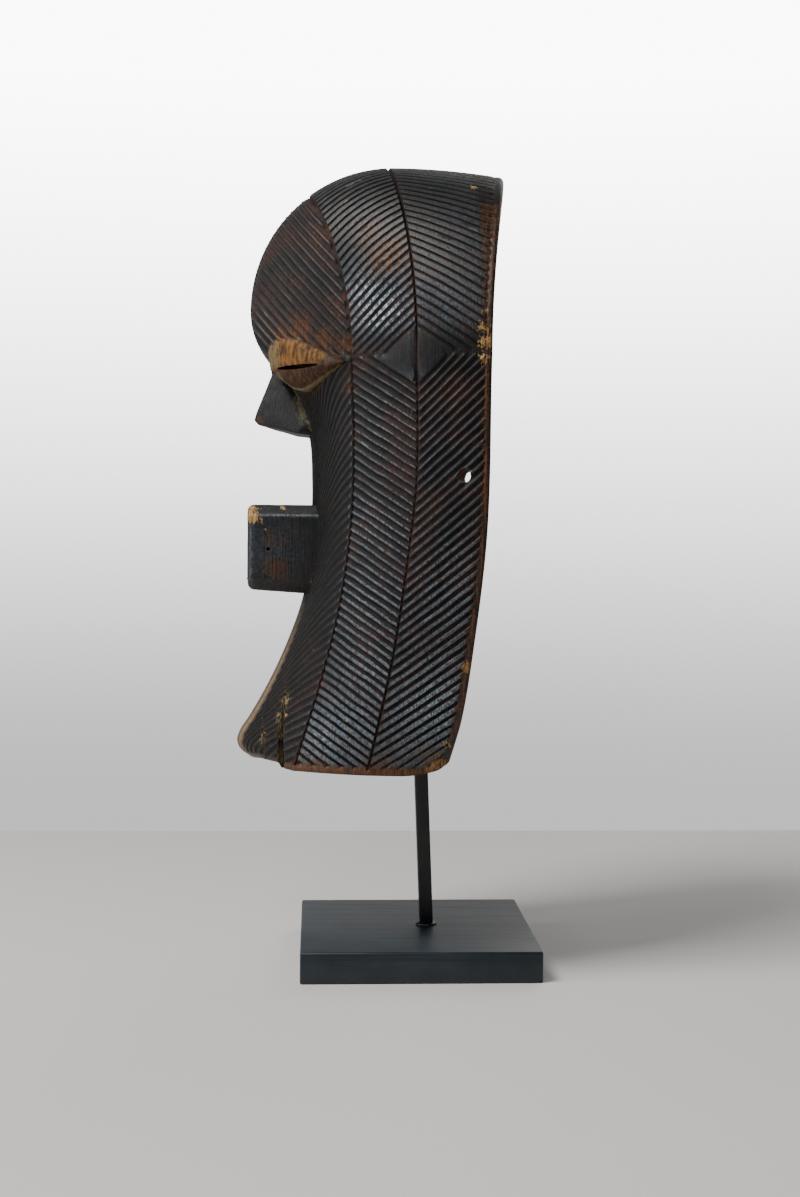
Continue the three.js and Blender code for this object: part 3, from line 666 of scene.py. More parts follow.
    # Upper panels, by the lift angle from the eye level (0) to the crown (90).
    def fore_lift(q, at):
        return at - TOP_LEAN_FORE * (1 - (at / CROWN) ** 2) * (1 - q)

    def aft_lift(q, at):
        return at - TOP_LEAN_AFT * (1 - (at / CROWN) ** 3) * q

    per_degree = math.pi / 4 * sum(SIDE_ARCH) / CROWN
    spread = (TOP_WIDE, per_degree)
    plain = [(at, 0.0) for at in np.arange(1.3, DIAMOND_HIGH, 1.5)]
    fore_cuts = cuts(DIAMOND_HIGH, CROWN, TOP_PITCH / per_degree, FORE_RIDGE)
    rows = rows_of(fore_cuts, fore_lift, front_ends, LIFTS, TOP_RUN, 1)
    rows += rows_of(plain, fore_lift, front_plain, LIFTS, TOP_RUN, 1)
    rows.append(wall_of(near_crown, 1, TOP_WIDE, raised))
    rows.append(wall_of(over_eye, 2, -TOP_WIDE, raised))
    rim = loop(top_a, crown_ab, turned(top_b), turned(with_measures(eye_ab, eye_ab[0], 0.0)))
    panels.append(fill(skin.side_top, spread, rim, rows, side, 0.3, TOP_BITE))
    aft_cuts = cuts(DIAMOND_HIGH - 0.4, CROWN, TOP_PITCH / per_degree, AFT_RIDGE)
    rows = rows_of(aft_cuts, aft_lift, back_ends, LIFTS, TOP_RUN, 2)
    rows += rows_of(plain, aft_lift, back_plain, LIFTS, TOP_RUN, 2)
    rows.append(wall_of(over_eye, 2, TOP_WIDE, raised))
    rim = loop(top_b, crown_br, turned(top_r), turned(with_measures(eye_br, eye_br[0], 0.0)))
    panels.append(fill(skin.side_top, spread, rim, rows, side, 0.3, TOP_BITE))

    # Forehead: chevrons that rise to the middle, inside the arch of the line beside the eye.
    arch_x, arch_z = edge_x - LINE_HALF, skin.top - EYE - LINE_HALF
    levels = np.linspace(EYE + EYE_GAP, skin.top - 0.01, 140)
    falls = []
    for x in np.linspace(0.4, arch_x, FINE):
        depth = skin.forehead(x + 0 * levels, levels)[:, 1]
        falls.append(levels + FOREHEAD_FALL_BACK * (depth - skin.front(EYE)) + FOREHEAD_FALL_OUT * x)

    def forehead_height(x, at):
        height = np.array([np.interp(at, fall, levels, 0, 0) for fall in falls])
        return np.where((x / arch_x) ** 2 + ((height - EYE) / arch_z) ** 2 < 1, height, 0)

    forehead_cuts = cuts(EYE + FOREHEAD_FROM, EYE + FOREHEAD_TO, FOREHEAD_PITCH, FOREHEAD_RIDGE)
    arch_span = (EYE + EYE_GAP, skin.top)
    rows = rows_of(forehead_cuts, forehead_height, (0.4, arch_x), arch_span, FOREHEAD_RUN)
    turn = np.radians(lift[2:-2])
    wall_x, wall_z = (edge_x - LINE_WALL) * np.cos(turn), EYE + (skin.top - EYE - LINE_WALL) * np.sin(turn)
    rows.append((wall_x, wall_z, np.full_like(turn, WALL_SHARE * LINE_DEPTH / GROOVE)))
    turn = np.radians(lift)
    arch = with_measures(top_a, edge_x * np.cos(turn), mix(EYE, skin.top, np.sin(turn)))
    ridge = chain(skin.forehead, 0, np.linspace(EYE, skin.top, 70), 0.0, 0)
    ridge[2][0] = middle[2][0]
    ridge[2][-1] = top_a[2][-1]
    rim = loop(with_measures(eye_ma, edge_x * t, EYE), arch, turned(ridge))
    panels.append(fill(skin.forehead, (1.0, 1.0), rim, rows, side, 0.35))

    # Plain border, rounded rim and bottom edge, closed straight across behind and below.
    inner = joined(turned(top_r), line_r, turned(foot_br), turned(foot_ab), turned(foot_ma))[2]
    border = [inner]
    for out, drop in RIM_ROUND:
        w = mix(RIM_W, 3, out)
        low = mix(LOW, BOTTOM, out)
        ring = (
            sunk(skin.side_top, w + 0 * lift, lift[::-1], drop),
            sunk(skin.side_low, w + 0 * z, mix(EYE, low, (EYE - z) / (EYE - LOW)), drop),
            sunk(skin.side_low, mix(w, 2, t), low + 0 * t, drop),
            sunk(skin.side_low, 2 - t, low + 0 * t, drop),
            sunk(skin.cheek, 1 - t, low + 0 * t, drop),
        )
        border.append(np.concatenate(ring))
    outermost = border[-1]
    border += [outermost * (share, 1, 1) for share in RIM_CLOSED]
    count = len(inner)
    grid = np.concatenate(border) * (side, 1, 1)
    corners = [r * count + i for r in range(len(border) - 1) for i in range(count - 1)]
    panels.append((grid, np.zeros(len(grid)), [[k, k + 1, k + 1 + count, k + count] for k in corners]))
    return panels


def upright(width, length):
    """The scale of a pattern of upright streaks with this width and length."""
    return (1 / width, 1 / width, 1 / length)


# Smoked hardwood: carved, stained dark, then polished by hands and soot. The ridge tops are near black with a
# satin shine and a cool painted sheen, the cuts are painted near black as shade with patches of duller red
# brown, and where hands and edges rub, the ochre wood shows.
# Where each layer lies is painted on the finished skin, further down, as values by name.
POLISH_IOR = 1.42
DULL_ROUGHNESS = 0.8
PAINTED = ("carved", "bare", "dust", "rubbed", "upper_lid", "lower_lid", "bloom_and_painted_sheen", "band", "soot_and_painted_shade")
patina, shader, place = started("smoked_and_hand_polished_hardwood")
painted = {name: add(patina, "Attribute", {}, "Fac", attribute_name=name) for name in PAINTED}
along = add(patina, "Mapping", {"Vector": place, "Scale": upright(0.9 * MM, 26 * MM)})
grain = add(patina, "TexNoise", {"Vector": along, "Scale": 1.0, "Detail": 6.0})
finer = add(patina, "Mapping", {"Vector": place, "Scale": upright(0.35 * MM, 9 * MM)})
fibre = add(patina, "TexNoise", {"Vector": finer, "Scale": 1.0, "Detail": 3.0})
blotch = add(patina, "TexNoise", {"Vector": place, "Scale": 1 / (19 * MM), "Detail": 4.0})
speck = add(patina, "TexNoise", {"Vector": place, "Scale": 1 / (1.7 * MM), "Detail": 4.0})

top_tone = add(patina, "ValToRGB", {"Fac": blotch}, ramp=((0.42, "#0e0f10"), (0.68, "#1f1713")))
flecked = add(patina, "Mix", {0: 0.4, 2: blotch, 3: speck}, data_type="FLOAT")
# Cuts: painted near black as shade deep in the grooves, with red brown patches where the blotches run high.
cut_tone_and_painted_shade = add(patina, "ValToRGB", {"Fac": flecked}, ramp=((0.43, "#050404"), (0.7, "#3f1f10")))
skin_tone = add(patina, "Mix", {0: painted["carved"], 6: top_tone, 7: cut_tone_and_painted_shade}, 2, data_type="RGBA")
streaks = {"Value": grain, "From Min": 0.32, "From Max": 0.68, "To Min": 0.4, "To Max": 1.6}
streaked = add(patina, "MapRange", streaks)
skin_tone = add(patina, "VectorMath", {0: skin_tone, "Scale": streaked}, operation="SCALE")

# Bloom and painted sheen: on the ridges of the sides, handling has left a blue grey haze, mottled along the
# fibres. It is painted on as a sheen, and where it is strongest as pale painted glints.
mottle = add(patina, "Math", {0: fibre, 1: speck}, operation="ADD")
mottled = {"Value": mottle, "From Min": 0.82, "From Max": 1.15, "To Min": 0.2, "To Max": 1.0}
ridges = {"Value": painted["carved"], "From Min": 0.05, "From Max": 0.32, "To Min": 1.0, "To Max": 0.0}
ridge = add(patina, "MapRange", ridges)
bloom_and_sheen_share = add(patina, "Math", {0: add(patina, "MapRange", mottled), 1: ridge}, operation="MULTIPLY")
bloom_and_sheen_share = add(patina, "Math", {0: bloom_and_sheen_share, 1: painted["bloom_and_painted_sheen"]}, operation="MULTIPLY")
painted_glint = add(patina, "MapRange", {"Value": bloom_and_sheen_share, "From Min": 0.82, "From Max": 1.25})
sheen_and_glint_tones = {0: painted_glint, 6: linear("#6d7983"), 7: linear("#b8c3ca")}
bloom_and_sheen_tone = add(patina, "Mix", sheen_and_glint_tones, 2, data_type="RGBA")

# Where the skin is bare, rubbed or dusty, with ragged edges: how ragged, where it begins and is full, and how
# much it covers.
ragged = add(patina, "Math", {0: speck, 1: grain}, operation="ADD")
ragged = add(patina, "Math", {0: ragged, 1: -1.0}, operation="ADD")
cover = {}
for name, torn, start, full, most in (
    ("bare", 1.3, 0.42, 0.62, 1.0),
    ("rubbed", 1.0, 0.25, 0.85, 0.85),
    ("dust", 1.2, 0.3, 0.8, 0.8),
):
    edge = add(patina, "Math", {0: ragged, 1: torn, 2: painted[name]}, operation="MULTIPLY_ADD")
    reach = {"Value": edge, "From Min": start, "From Max": full, "To Max": most}
    cover[name] = add(patina, "MapRange", reach, interpolation_type="SMOOTHSTEP")

# Bare wood is ochre with pale fibres, rubbed wood brown where the stain is thin, and the chin's band greyish
# tan. The upper eyelid is worn to ochre with dark upright streaks, the lower one red brown.
across = add(patina, "Mapping", {"Vector": place, "Scale": upright(2.4 * MM, 5 * MM)})
lid_grain = add(patina, "TexNoise", {"Vector": across, "Scale": 1.0, "Detail": 5.0})
bare_tone = add(patina, "ValToRGB", {"Fac": grain}, ramp=((0.34, "#5b3718"), (0.6, "#b9935a")))
rubbed_tone = add(patina, "ValToRGB", {"Fac": grain}, ramp=((0.3, "#261405"), (0.7, "#673c12")))
band_tone = add(patina, "ValToRGB", {"Fac": grain}, ramp=((0.3, "#5d4c38"), (0.7, "#9c8266")))
upper_tone = add(patina, "ValToRGB", {"Fac": lid_grain}, ramp=((0.36, "#2e1b0a"), (0.66, "#825724")))
lower_tone = add(patina, "ValToRGB", {"Fac": lid_grain}, ramp=((0.36, "#1a0f06"), (0.66, "#523012")))

# The layers from the wood outwards: first soot and painted shade, which lie thick and near black in ridges
# and cuts alike, and last the old grey green dust in the corners.
for share, tone in (
    (painted["soot_and_painted_shade"], linear("#060605")),
    (bloom_and_sheen_share, bloom_and_sheen_tone),
    (cover["bare"], bare_tone),
    (cover["rubbed"], rubbed_tone),
    (painted["band"], band_tone),
    (painted["upper_lid"], upper_tone),
    (painted["lower_lid"], lower_tone),
    (cover["dust"], linear("#6e6448")),
):
    skin_tone = add(patina, "Mix", {0: share, 6: skin_tone, 7: tone}, 2, data_type="RGBA")

dull = cover["bare"]
groove = add(patina, "MapRange", {"Value": painted["carved"], "From Min": 0.3, "From Max": 0.8})
for share in (cover["dust"], groove, painted["band"], painted["upper_lid"], painted["lower_lid"]):
    dull = add(patina, "Math", {0: dull, 1: share}, operation="MAXIMUM")
satin = add(patina, "MapRange", {"Value": painted["bloom_and_painted_sheen"], "To Min": 0.44, "To Max": 0.18})
rough = add(patina, "Mix", {0: dull, 2: satin, 3: DULL_ROUGHNESS}, data_type="FLOAT")
relief = add(patina, "Bump", {"Height": fibre, "Strength": 0.7, "Distance": 0.2 * MM})
relief = add(patina, "Bump", {"Height": grain, "Strength": 0.8, "Distance": 0.4 * MM, "Normal": relief})
relief = add(patina, "Bump", {"Height": speck, "Strength": 0.35, "Distance": 0.35 * MM, "Normal": relief})
feed(patina, shader, {"Base Color": skin_tone, "Roughness": rough, "Normal": relief, "IOR": POLISH_IOR})

# The hollow: the same wood left from the adze, only stained by handling, dull brown with long tool marks.
adzed, shader, place = started("adzed_hardwood_inside")
along = add(adzed, "Mapping", {"Vector": place, "Scale": upright(1.2 * MM, 30 * MM)})
grain = add(adzed, "TexNoise", {"Vector": along, "Scale": 1.0, "Detail": 6.0})
strokes = add(adzed, "Mapping", {"Vector": place, "Scale": upright(9 * MM, 22 * MM)})
scoops = add(adzed, "TexVoronoi", {"Vector": strokes, "Scale": 1.0}, feature="SMOOTH_F1")
stain = add(adzed, "TexNoise", {"Vector": place, "Scale": 1 / (30 * MM), "Detail": 3.0})
tone = add(adzed, "ValToRGB", {"Fac": grain}, ramp=((0.3, "#2a1a10"), (0.72, "#6a4528")))
stained = {"Value": stain, "From Min": 0.3, "From Max": 0.7, "To Min": 0.55, "To Max": 1.2}
tone = add(adzed, "VectorMath", {0: tone, "Scale": add(adzed, "MapRange", stained)}, operation="SCALE")
relief = add(adzed, "Bump", {"Height": scoops, "Strength": 0.7, "Distance": 1.2 * MM})
relief = add(adzed, "Bump", {"Height": grain, "Strength": 0.5, "Distance": 0.3 * MM, "Normal": relief})
feed(adzed, shader, {"Base Color": tone, "Roughness": 0.72, "Normal": relief})

# Split wood: the pale torn fibres inside a crack.
split, shader, place = started("split_hardwood")
along = add(split, "Mapping", {"Vector": place, "Scale": upright(0.7 * MM, 14 * MM)})
grain = add(split, "TexNoise", {"Vector": along, "Scale": 1.0, "Detail": 6.0})
tone = add(split, "ValToRGB", {"Fac": grain}, ramp=((0.44, "#0c0805"), (0.64, "#86703f")))
relief = add(split, "Bump", {"Height": grain, "Strength": 0.8, "Distance": 0.6 * MM})
feed(split, shader, {"Base Color": tone, "Roughness": 0.8, "Normal": relief})

bm = bmesh.new()
carve = bm.verts.layers.float.new("carved")
for side in (1, -1):
    for points, carved, faces in half_skin(side):
        made = [bm.verts.new(p) for p in settled(eased(points))]
        for v, value in zip(made, carved):
            v[carve] = value
        for f in faces:
            bm.faces.new([made[i] for i in f])
bmesh.ops.remove_doubles(bm, verts=bm.verts, dist=0.004)
bmesh.ops.dissolve_degenerate(bm, dist=0.002, edges=bm.edges)
grooved = [(v.co.copy(), v[carve]) for v in bm.verts]
mask = from_bmesh("mask_carved_wood", bm, [patina])


def both_sides(build):
    return [build(1), build(-1)]


def refined(bm, longest, times):
    """Triangles, with the edges that are longer than this halved a few times."""
    bmesh.ops.triangulate(bm, faces=bm.faces)
    for _ in range(times):
        bmesh.ops.subdivide_edges(bm, edges=[e for e in bm.edges if e.calc_length() > longest], cuts=1)
        bmesh.ops.triangulate(bm, faces=bm.faces)


def roughen(bm, size, depth, seed):
    """Hand-worked unevenness: every point goes a little into the wood, by up to a depth."""
    bm.normal_update()
    for v in bm.verts:
        v.co -= v.normal * depth * (0.5 + 0.5 * noise.noise(v.co / size + Vector((0, 0, seed))))


# Nose: a triangular wedge with a flat underside.
NOSE = (
    (3.5, -86.5, 352.5), (3.5, -74, 357), (4, -97.6, 324.5), (4, -96, 318.4),
    (2, -98.6, 321), (10.5, -79, 338), (10.5, -66, 343), (18, -72.5, 312.6),
    (18.5, -70.5, 315.5), (18, -58, 311), (17, -57, 324),
)
bm = bmesh.new()
for x, y, z in NOSE:
    bm.verts.new((x, y, z))
    bm.verts.new((-x, y, z))
bmesh.ops.convex_hull(bm, input=bm.verts)
bmesh.ops.dissolve_limit(bm, angle_limit=math.radians(2), verts=bm.verts, edges=bm.edges)
bevel(bm, bm.edges, 0.9, 3)
refined(bm, 3.0, 3)
roughen(bm, 6, 0.35, 1)
nose = from_bmesh("nose", bm, [patina])

# Mouth: a box that stands out, with chamfered edges, a softened front and an opening right through.
MOUTH_HALF = 27.0
MOUTH_HIGH = 271.0
MOUTH_MIDDLE = (MOUTH_LOW + MOUTH_HIGH) / 2
MOUTH_FRONT = -101.5
MOUTH_ROOT = -58.0
MOUTH_LIFT = 1.5
MOUTH_CHAMFER = 6.5
MOUTH_SOFTEN = 3.8
MOUTH_TAPER = 3.0


def lengthwise(bm):
    """The edges of a block that run from front to back."""
    return [e for e in bm.edges if abs(e.verts[0].co.y - e.verts[1].co.y) > 1]


size = (2 * MOUTH_HALF, MOUTH_ROOT - MOUTH_FRONT, MOUTH_HIGH - MOUTH_LOW)
bm = block(size, (0, (MOUTH_ROOT + MOUTH_FRONT) / 2, MOUTH_MIDDLE))
bevel(bm, lengthwise(bm), MOUTH_CHAMFER, 1)
front = [e for e in bm.edges if all(v.co.y < MOUTH_FRONT + 0.1 for v in e.verts)]
bevel(bm, front, MOUTH_SOFTEN, 4)
corners = [e for e in bm.edges if len(e.link_faces) == 2 and e.calc_face_angle() > math.radians(30)]
bevel(bm, corners, 1.1, 2)
refined(bm, 3.2, 4)
for v in bm.verts:
    inward = (v.co.y - MOUTH_FRONT) / (MOUTH_ROOT - MOUTH_FRONT)
    if v.co.z < MOUTH_LOW + MOUTH_CHAMFER + 1:
        v.co.z += MOUTH_LIFT - MOUTH_TAPER * inward
roughen(bm, 7, 0.4, 2)
mouth = from_bmesh("mouth", bm, [patina])

# Eyes: pointed beans set on the corner between face and side, each with a narrow slit and a rim below. The
# lids' outlines run from the nose end (-1) to the pointed outer corner (1), as shares of the eye's height.
EYE_PLACE = Vector((37, -66.5, 350.5))
EYE_LONG = 34.0
EYE_TALL = 15.5
EYE_THICK = 10.0
EYE_TURN = 39.0
EYE_TIP = 12.0
EYE_POINT = 0.2
UPPER_NOSE_END = [(-1, 0), (-0.95, 0.7), (-0.8, 1.04), (-0.6, 1.18), (-0.36, 1.2)]
UPPER_LID = through(UPPER_NOSE_END + [(0, 1.04), (0.5, 0.56), (1, 0)])
LOWER_NOSE_END = [(-1, 0), (-0.85, 0.18), (-0.5, 0.62), (-0.2, 0.95)]
LOWER_LID = through(LOWER_NOSE_END + [(0, 1.0), (0.25, 0.84), (0.6, 0.46), (1, 0)])
LID_RIM = 0.86
LID_SWELL = 0.55
SLIT_HALF = 22.0
SLIT_TALL = 3.2
SLIT_DEEP = 24.0
SIDEWAYS = Matrix.Rotation(math.pi / 2, 4, "Y")
TIPPED = Matrix.Rotation(math.radians(EYE_TIP), 3, "X")
TURNED = Matrix.Rotation(math.radians(EYE_TURN), 3, "Z")


def hump(value, centre, width):
    """A bell curve, 1 at its centre."""
    return np.exp(-(((value - centre) / width) ** 2))


def placed_eye(bm, side):
    """Turns an eye shape from its own long, thick and tall axes to its place on one side."""
    bmesh.ops.rotate(bm, matrix=TIPPED, verts=bm.verts)
    bmesh.ops.rotate(bm, matrix=TURNED, verts=bm.verts)
    bmesh.ops.translate(bm, vec=EYE_PLACE, verts=bm.verts)
    bmesh.ops.scale(bm, vec=(side, 1, 1), verts=bm.verts)


def eye(side):
    bm = bmesh.new()
    bmesh.ops.create_uvsphere(bm, u_segments=64, v_segments=48, radius=1.0, matrix=SIDEWAYS)
    for v in bm.verts:
        round_at = math.sqrt(max(1e-9, 1 - v.co.x**2))
        up = v.co.z / round_at
        lid = UPPER_LID(v.co.x) if up > 0 else LOWER_LID(v.co.x)
        rim = 0.12 * hump(-up, LID_RIM, 0.06) if v.co.y < 0 else 0
        full = max(0, 1 - v.co.x**2) ** (0.5 + EYE_POINT / 2)
        swell = math.copysign(abs(v.co.y / round_at) ** (LID_SWELL if up > 0 else 1), v.co.y)
        v.co = Vector((v.co.x * EYE_LONG, (swell - rim) * full * EYE_THICK, up * lid * EYE_TALL))
    roughen(bm, 4, 0.25, 3)
    placed_eye(bm, side)
    return from_bmesh("eye", bm, [patina])


def slit(side):
    bm = bmesh.new()
    bmesh.ops.create_uvsphere(bm, u_segments=32, v_segments=16, radius=1.0)
    bmesh.ops.scale(bm, vec=(SLIT_HALF, SLIT_DEEP, SLIT_TALL / 2), verts=bm.verts)
    bmesh.ops.translate(bm, vec=(0, 4, 0.5), verts=bm.verts)
    placed_eye(bm, side)
    return from_bmesh("slit", bm, [adzed])


# Hollow: cut out with an adze from behind, open at the back and at the bottom, and flared out at its rim.
RUN_OUT = 25.0
HOLLOW_FLARE = 1.4
FLARE_FROM = 2.88


def hollow_half(side):
    """One half of the hollow as rows of points, run out past the back and the bottom."""
    t = np.linspace(0, 1, 13)
    w = np.linspace(1, 3, 23)[1:]
    rows = []
    for lift in np.linspace(CROWN, 0, 31):
        z = mix(EYE, hollow.top, math.sin(math.radians(lift)))
        x = hollow.line(0, EYE)[0] * math.cos(math.radians(lift)) * t
        fore = hollow.side_top(0 * t + 1, 0 * t + lift) if lift == CROWN else hollow.forehead(x, 0 * t + z)
        rows.append(np.concatenate([fore, hollow.side_top(w, 0 * w + lift)]))
    for z in np.linspace(EYE, BOTTOM, 40)[1:]:
        rows.append(np.concatenate([hollow.cheek(t, 0 * t + z), hollow.side_low(w, 0 * w + z)]))
    rows = np.array(rows)
    near_rim = rise(np.concatenate([0 * t, w]), FLARE_FROM, 3)
    rows[:, :, 0] += HOLLOW_FLARE * near_rim * rise(rows[:, :, 0], 0, 10)
    behind = rows[:, -1:] + (0, RUN_OUT, 0)
    rows = np.concatenate([rows, behind, behind * (0, 1, 1)], 1) * (side, 1, 1)
    rows[np.abs(rows[:, :, 0]) < 1e-6, 0] = 0
    below = rows[-1:] - (0, 0, RUN_OUT)
    return np.concatenate([rows, below, below * (0, 1, 1)])


bm = bmesh.new()
for side in (1, -1):
    rows = [[bm.verts.new(p) for p in row] for row in hollow_half(side)]
    for upper, lower in zip(rows, rows[1:]):
        for i in range(len(upper) - 1):
            bm.faces.new((upper[i], upper[i + 1], lower[i + 1], lower[i]))
bmesh.ops.remove_doubles(bm, verts=bm.verts, dist=0.004)
bmesh.ops.dissolve_degenerate(bm, dist=0.002, edges=bm.edges)
bmesh.ops.triangulate(bm, faces=bm.faces)
hollow_tool = from_bmesh("hollow", bm, [adzed])

# Openings: the mouth, the tie holes beside the rim, and a worm hole in the side of the mouth block.
TIE_X = 85.0
TIE_Y = 18.7
TIE_Z = 286.5
TIE_RADIUS = 3.4
TIE_DEEP = 36.0
TIE_FLARE = 1.1
TIE_SLANT = Vector((0, 0.6, -0.18))
MOUTH_HOLE = (34, 70, 13)
MOUTH_HOLE_CORNER = 3.5
MOUTH_HOLE_Y = -80.0
WORM_AT = (26.5, -89.2, 244.9)


def rod(segments, radius_in, radius_out, deep):
    """A round rod that lies sideways."""
    bm = bmesh.new()
    size = {"radius1": radius_in, "radius2": radius_out, "depth": deep}
    bmesh.ops.create_cone(bm, cap_ends=True, segments=segments, matrix=SIDEWAYS, **size)
    return bm


def tie_hole(side):
    """A slanting hole, burnt through from outside and wider at its mouth."""
    bm = rod(28, TIE_RADIUS, TIE_RADIUS, TIE_DEEP)
    bmesh.ops.subdivide_edges(bm, edges=[e for e in bm.edges if e.calc_length() > 20], cuts=11)
    surface = skin.between(3 - (skin.line(2, TIE_Z)[1] - TIE_Y) / BACK_WIDE, TIE_Z)[0]
    for v in bm.verts:
        inside = surface - TIE_X - v.co.x
        flare = TIE_FLARE * math.exp(-max(0, inside) / 1.4)
        ragged = 0.4 * noise.noise(Vector((v.co.y, v.co.z, 2)) / 2.5)
        v.co += Vector((0, v.co.y, v.co.z)).normalized() * (ragged + flare)
        v.co += TIE_SLANT * inside
        v.co = Vector(((v.co.x + TIE_X) * side, v.co.y + TIE_Y, v.co.z + TIE_Z))
    if side < 0:
        bmesh.ops.reverse_faces(bm, faces=bm.faces)
    return from_bmesh("tie hole", bm, [adzed])


bm = block(MOUTH_HOLE, (0, 0, 0))
bevel(bm, lengthwise(bm), MOUTH_HOLE_CORNER, 4)
bmesh.ops.translate(bm, vec=(0, MOUTH_HOLE_Y, MOUTH_MIDDLE), verts=bm.verts)
mouth_hole = from_bmesh("mouth hole", bm, [adzed])

bm = rod(12, 0.9, 1.25, 8)
bmesh.ops.translate(bm, vec=WORM_AT, verts=bm.verts)
worm_hole = from_bmesh("worm hole", bm, [adzed])

# Cracks that have opened up the left side of the chin: level, depth line, width and how deep they run.
LONG_CRACK = (
    (118, -81.0, 6.6, 12.0), (126, -81.2, 5.6, 10.0), (136, -81.2, 4.8, 8.0), (146, -80.4, 3.8, 6.0),
    (155, -79.6, 2.6, 3.5), (164, -79.0, 1.3, 2.0), (170, -78.6, 0.3, 0.6),
)
SHORT_CRACK = (
    (118, -90.6, 2.0, 6.0), (126, -91.0, 1.7, 5.0), (134, -91.3, 1.9, 4.0),
    (141, -91.8, 1.2, 2.6), (148, -92.3, 0.3, 0.8),
)


def crack_cut(stations):
    """A ragged wedge along the skin of the cheek, open outwards."""
    level, where, wide, deep = np.array(stations, float).T
    z = np.linspace(level[0], level[-1], 26)
    y, wide, deep = (np.interp(z, level, v) for v in (where, wide, deep))
    y = y + 0.35 * np.array([noise.noise(Vector((v / 6, 1, 1))) for v in z])
    side = skin.line(0, z)[1]
    t = np.sqrt(np.clip((y - skin.front(z)) / (side - skin.front(z)), 0.01, 1))
    surface = sunk(skin.cheek, t, z, 0 * z)
    out = surface - sunk(skin.cheek, t, z, 1 + 0 * z)
    across = np.cross(out, (0, 0, 1))
    jag = np.array([noise.noise(Vector((v / 2.3, 7, 2))) for v in z])
    bm = bmesh.new()
    rings = []
    for i in range(len(z)):
        half = across[i] * wide[i] * (0.5 + 0.14 * jag[i])
        above = surface[i] + out[i] * 2.5
        tip = surface[i] - out[i] * deep[i]
        ring = (above + half * 1.6, above - half * 1.6, surface[i] - half, tip, surface[i] + half)
        rings.append([bm.verts.new(p) for p in ring])
    for v in rings[0]:
        v.co.z -= 4
    for a, b in zip(rings, rings[1:]):
        for k in range(5):
            bm.faces.new((a[k], a[(k + 1) % 5], b[(k + 1) % 5], b[k]))
    bm.faces.new(rings[0])
    bm.faces.new(rings[-1][::-1])
    bmesh.ops.triangulate(bm, faces=bm.faces)
    return from_bmesh("crack", bm, [split])


worked(mask, [nose, mouth, *both_sides(eye)], "UNION")
openings = [hollow_tool, mouth_hole, worm_hole, *both_sides(slit), *both_sides(tie_hole)]
worked(mask, openings + [crack_cut(LONG_CRACK), crack_cut(SHORT_CRACK)], "DIFFERENCE")

# Wear and the painted sheen, marked on the finished skin: places in millimetres, reach and strength.
# Bare wood: chips along the back rim and the crown, at the foot, on the mouth's edge and beside the cracks.
BARE = (
    (94, 29, 367, 4, 0.75), (94, 31, 359, 5, 0.85), (95, 30, 350, 4, 0.75), (93, 31, 376, 3, 0.55),
    (48, 27, 451, 2, 1.2), (90, 37, 395, 2.5, 0.6), (87, 38, 405, 2.5, 0.65), (84, 38, 412, 2, 0.6),
    (75, 40, 429, 2, 0.55), (86, 22, 181, 3, 1.2), (60, -42, 269, 2, 1.2), (77, 8, 126, 6, 0.75),
    (79, 12, 137, 4, 0.6), (77, 3, 121, 5, 0.7), (27, -99, 264, 4.5, 0.95), (24, -99, 269, 4.5, 0.85),
    (27, -94, 262, 2.5, 0.85), (22, -81, 269, 1.3, 1.1), (26, -82, 265, 1.2, 1.1), (27, -91, 256, 1.4, 0.7),
    (37, -79, 163, 2.2, 0.75), (38, -79, 157, 2.8, 0.85), (37, -82, 149, 2, 0.75), (41, -79, 149, 2.2, 0.75),
    (33, -91, 138, 1.6, 0.8), (32, -91, 131, 1.6, 0.7), (67, -44, 150, 1.8, 0.6), (85, 1, 190, 1.4, 0.6),
)
# Rubbed: the brow, the mouth's side, the crown, the foot, the nose's tip and the line beside the eye.
RUBBED = (
    (44, -71, 370, 11, 0.75), (54, -58, 364, 9, 0.75), (63, -46, 360, 9, 0.7), (33, -80, 368, 10, 0.6),
    (57, -51, 385, 12, 0.42), (40, -73, 395, 20, 0.3), (27, -84, 234, 10, 0.6), (27, -86, 250, 9, 0.5),
    (43, -59, 424, 11, 0.45), (70, -24, 409, 19, 0.6), (60, -31, 420, 16, 0.5), (77, 8, 126, 16, 0.6),
    (6, -95, 321, 3.5, 0.9), (60, -60, 122, 9, 0.7), (75, -25, 121, 14, 0.6), (62, -44, 335, 8, 0.5),
    (61, -49, 215, 6, 0.4), (57, -57, 170, 5, 0.45),
)
# Dust: between the nose and the eye, and in the cracks.
DUST = (
    (25, -83, 344, 5, 0.95), (21, -80, 340, 4, 0.9), (19, -78, 338, 3, 0.85), (15, -74, 334, 3, 0.85),
    (14, -71, 330, 3, 0.85), (16, -69, 325, 2.4, 0.85), (17, -66, 319, 2.4, 0.85), (17, -76, 336, 4, 0.85),
    (13, -72, 333, 3.5, 0.7), (15, -70, 327, 2.6, 0.85), (16, -69, 322, 2.6, 0.85), (18, -64, 316, 2.6, 0.75),
    (9, -80, 339, 3, 0.5), (38, -79, 158, 5, 0.75), (39, -81, 148, 5, 0.65), (33, -91, 134, 4, 0.7),
)
# Bloom and painted sheen: over the side up to the eye level, most of all just above it in front, where it is
# painted pale as glints, and a little on the mouth.
BLOOM_AND_PAINTED_SHEEN = (
    (60, -56, 137, 22, 0.95), (69, -40, 148, 28, 0.85), (74, -28, 178, 28, 0.9), (76, -26, 215, 36, 0.85),
    (78, -22, 260, 36, 0.85), (80, -20, 310, 40, 0.85), (80, 8, 160, 44, 1.0), (88, 15, 225, 44, 0.8),
    (92, 18, 300, 44, 0.45), (79, -27, 376, 22, 1.5), (72, -36, 388, 18, 1.25), (88, 12, 375, 26, 0.35),
    (70, 20, 430, 34, 0.2), (27, -90, 245, 22, 0.22),
)


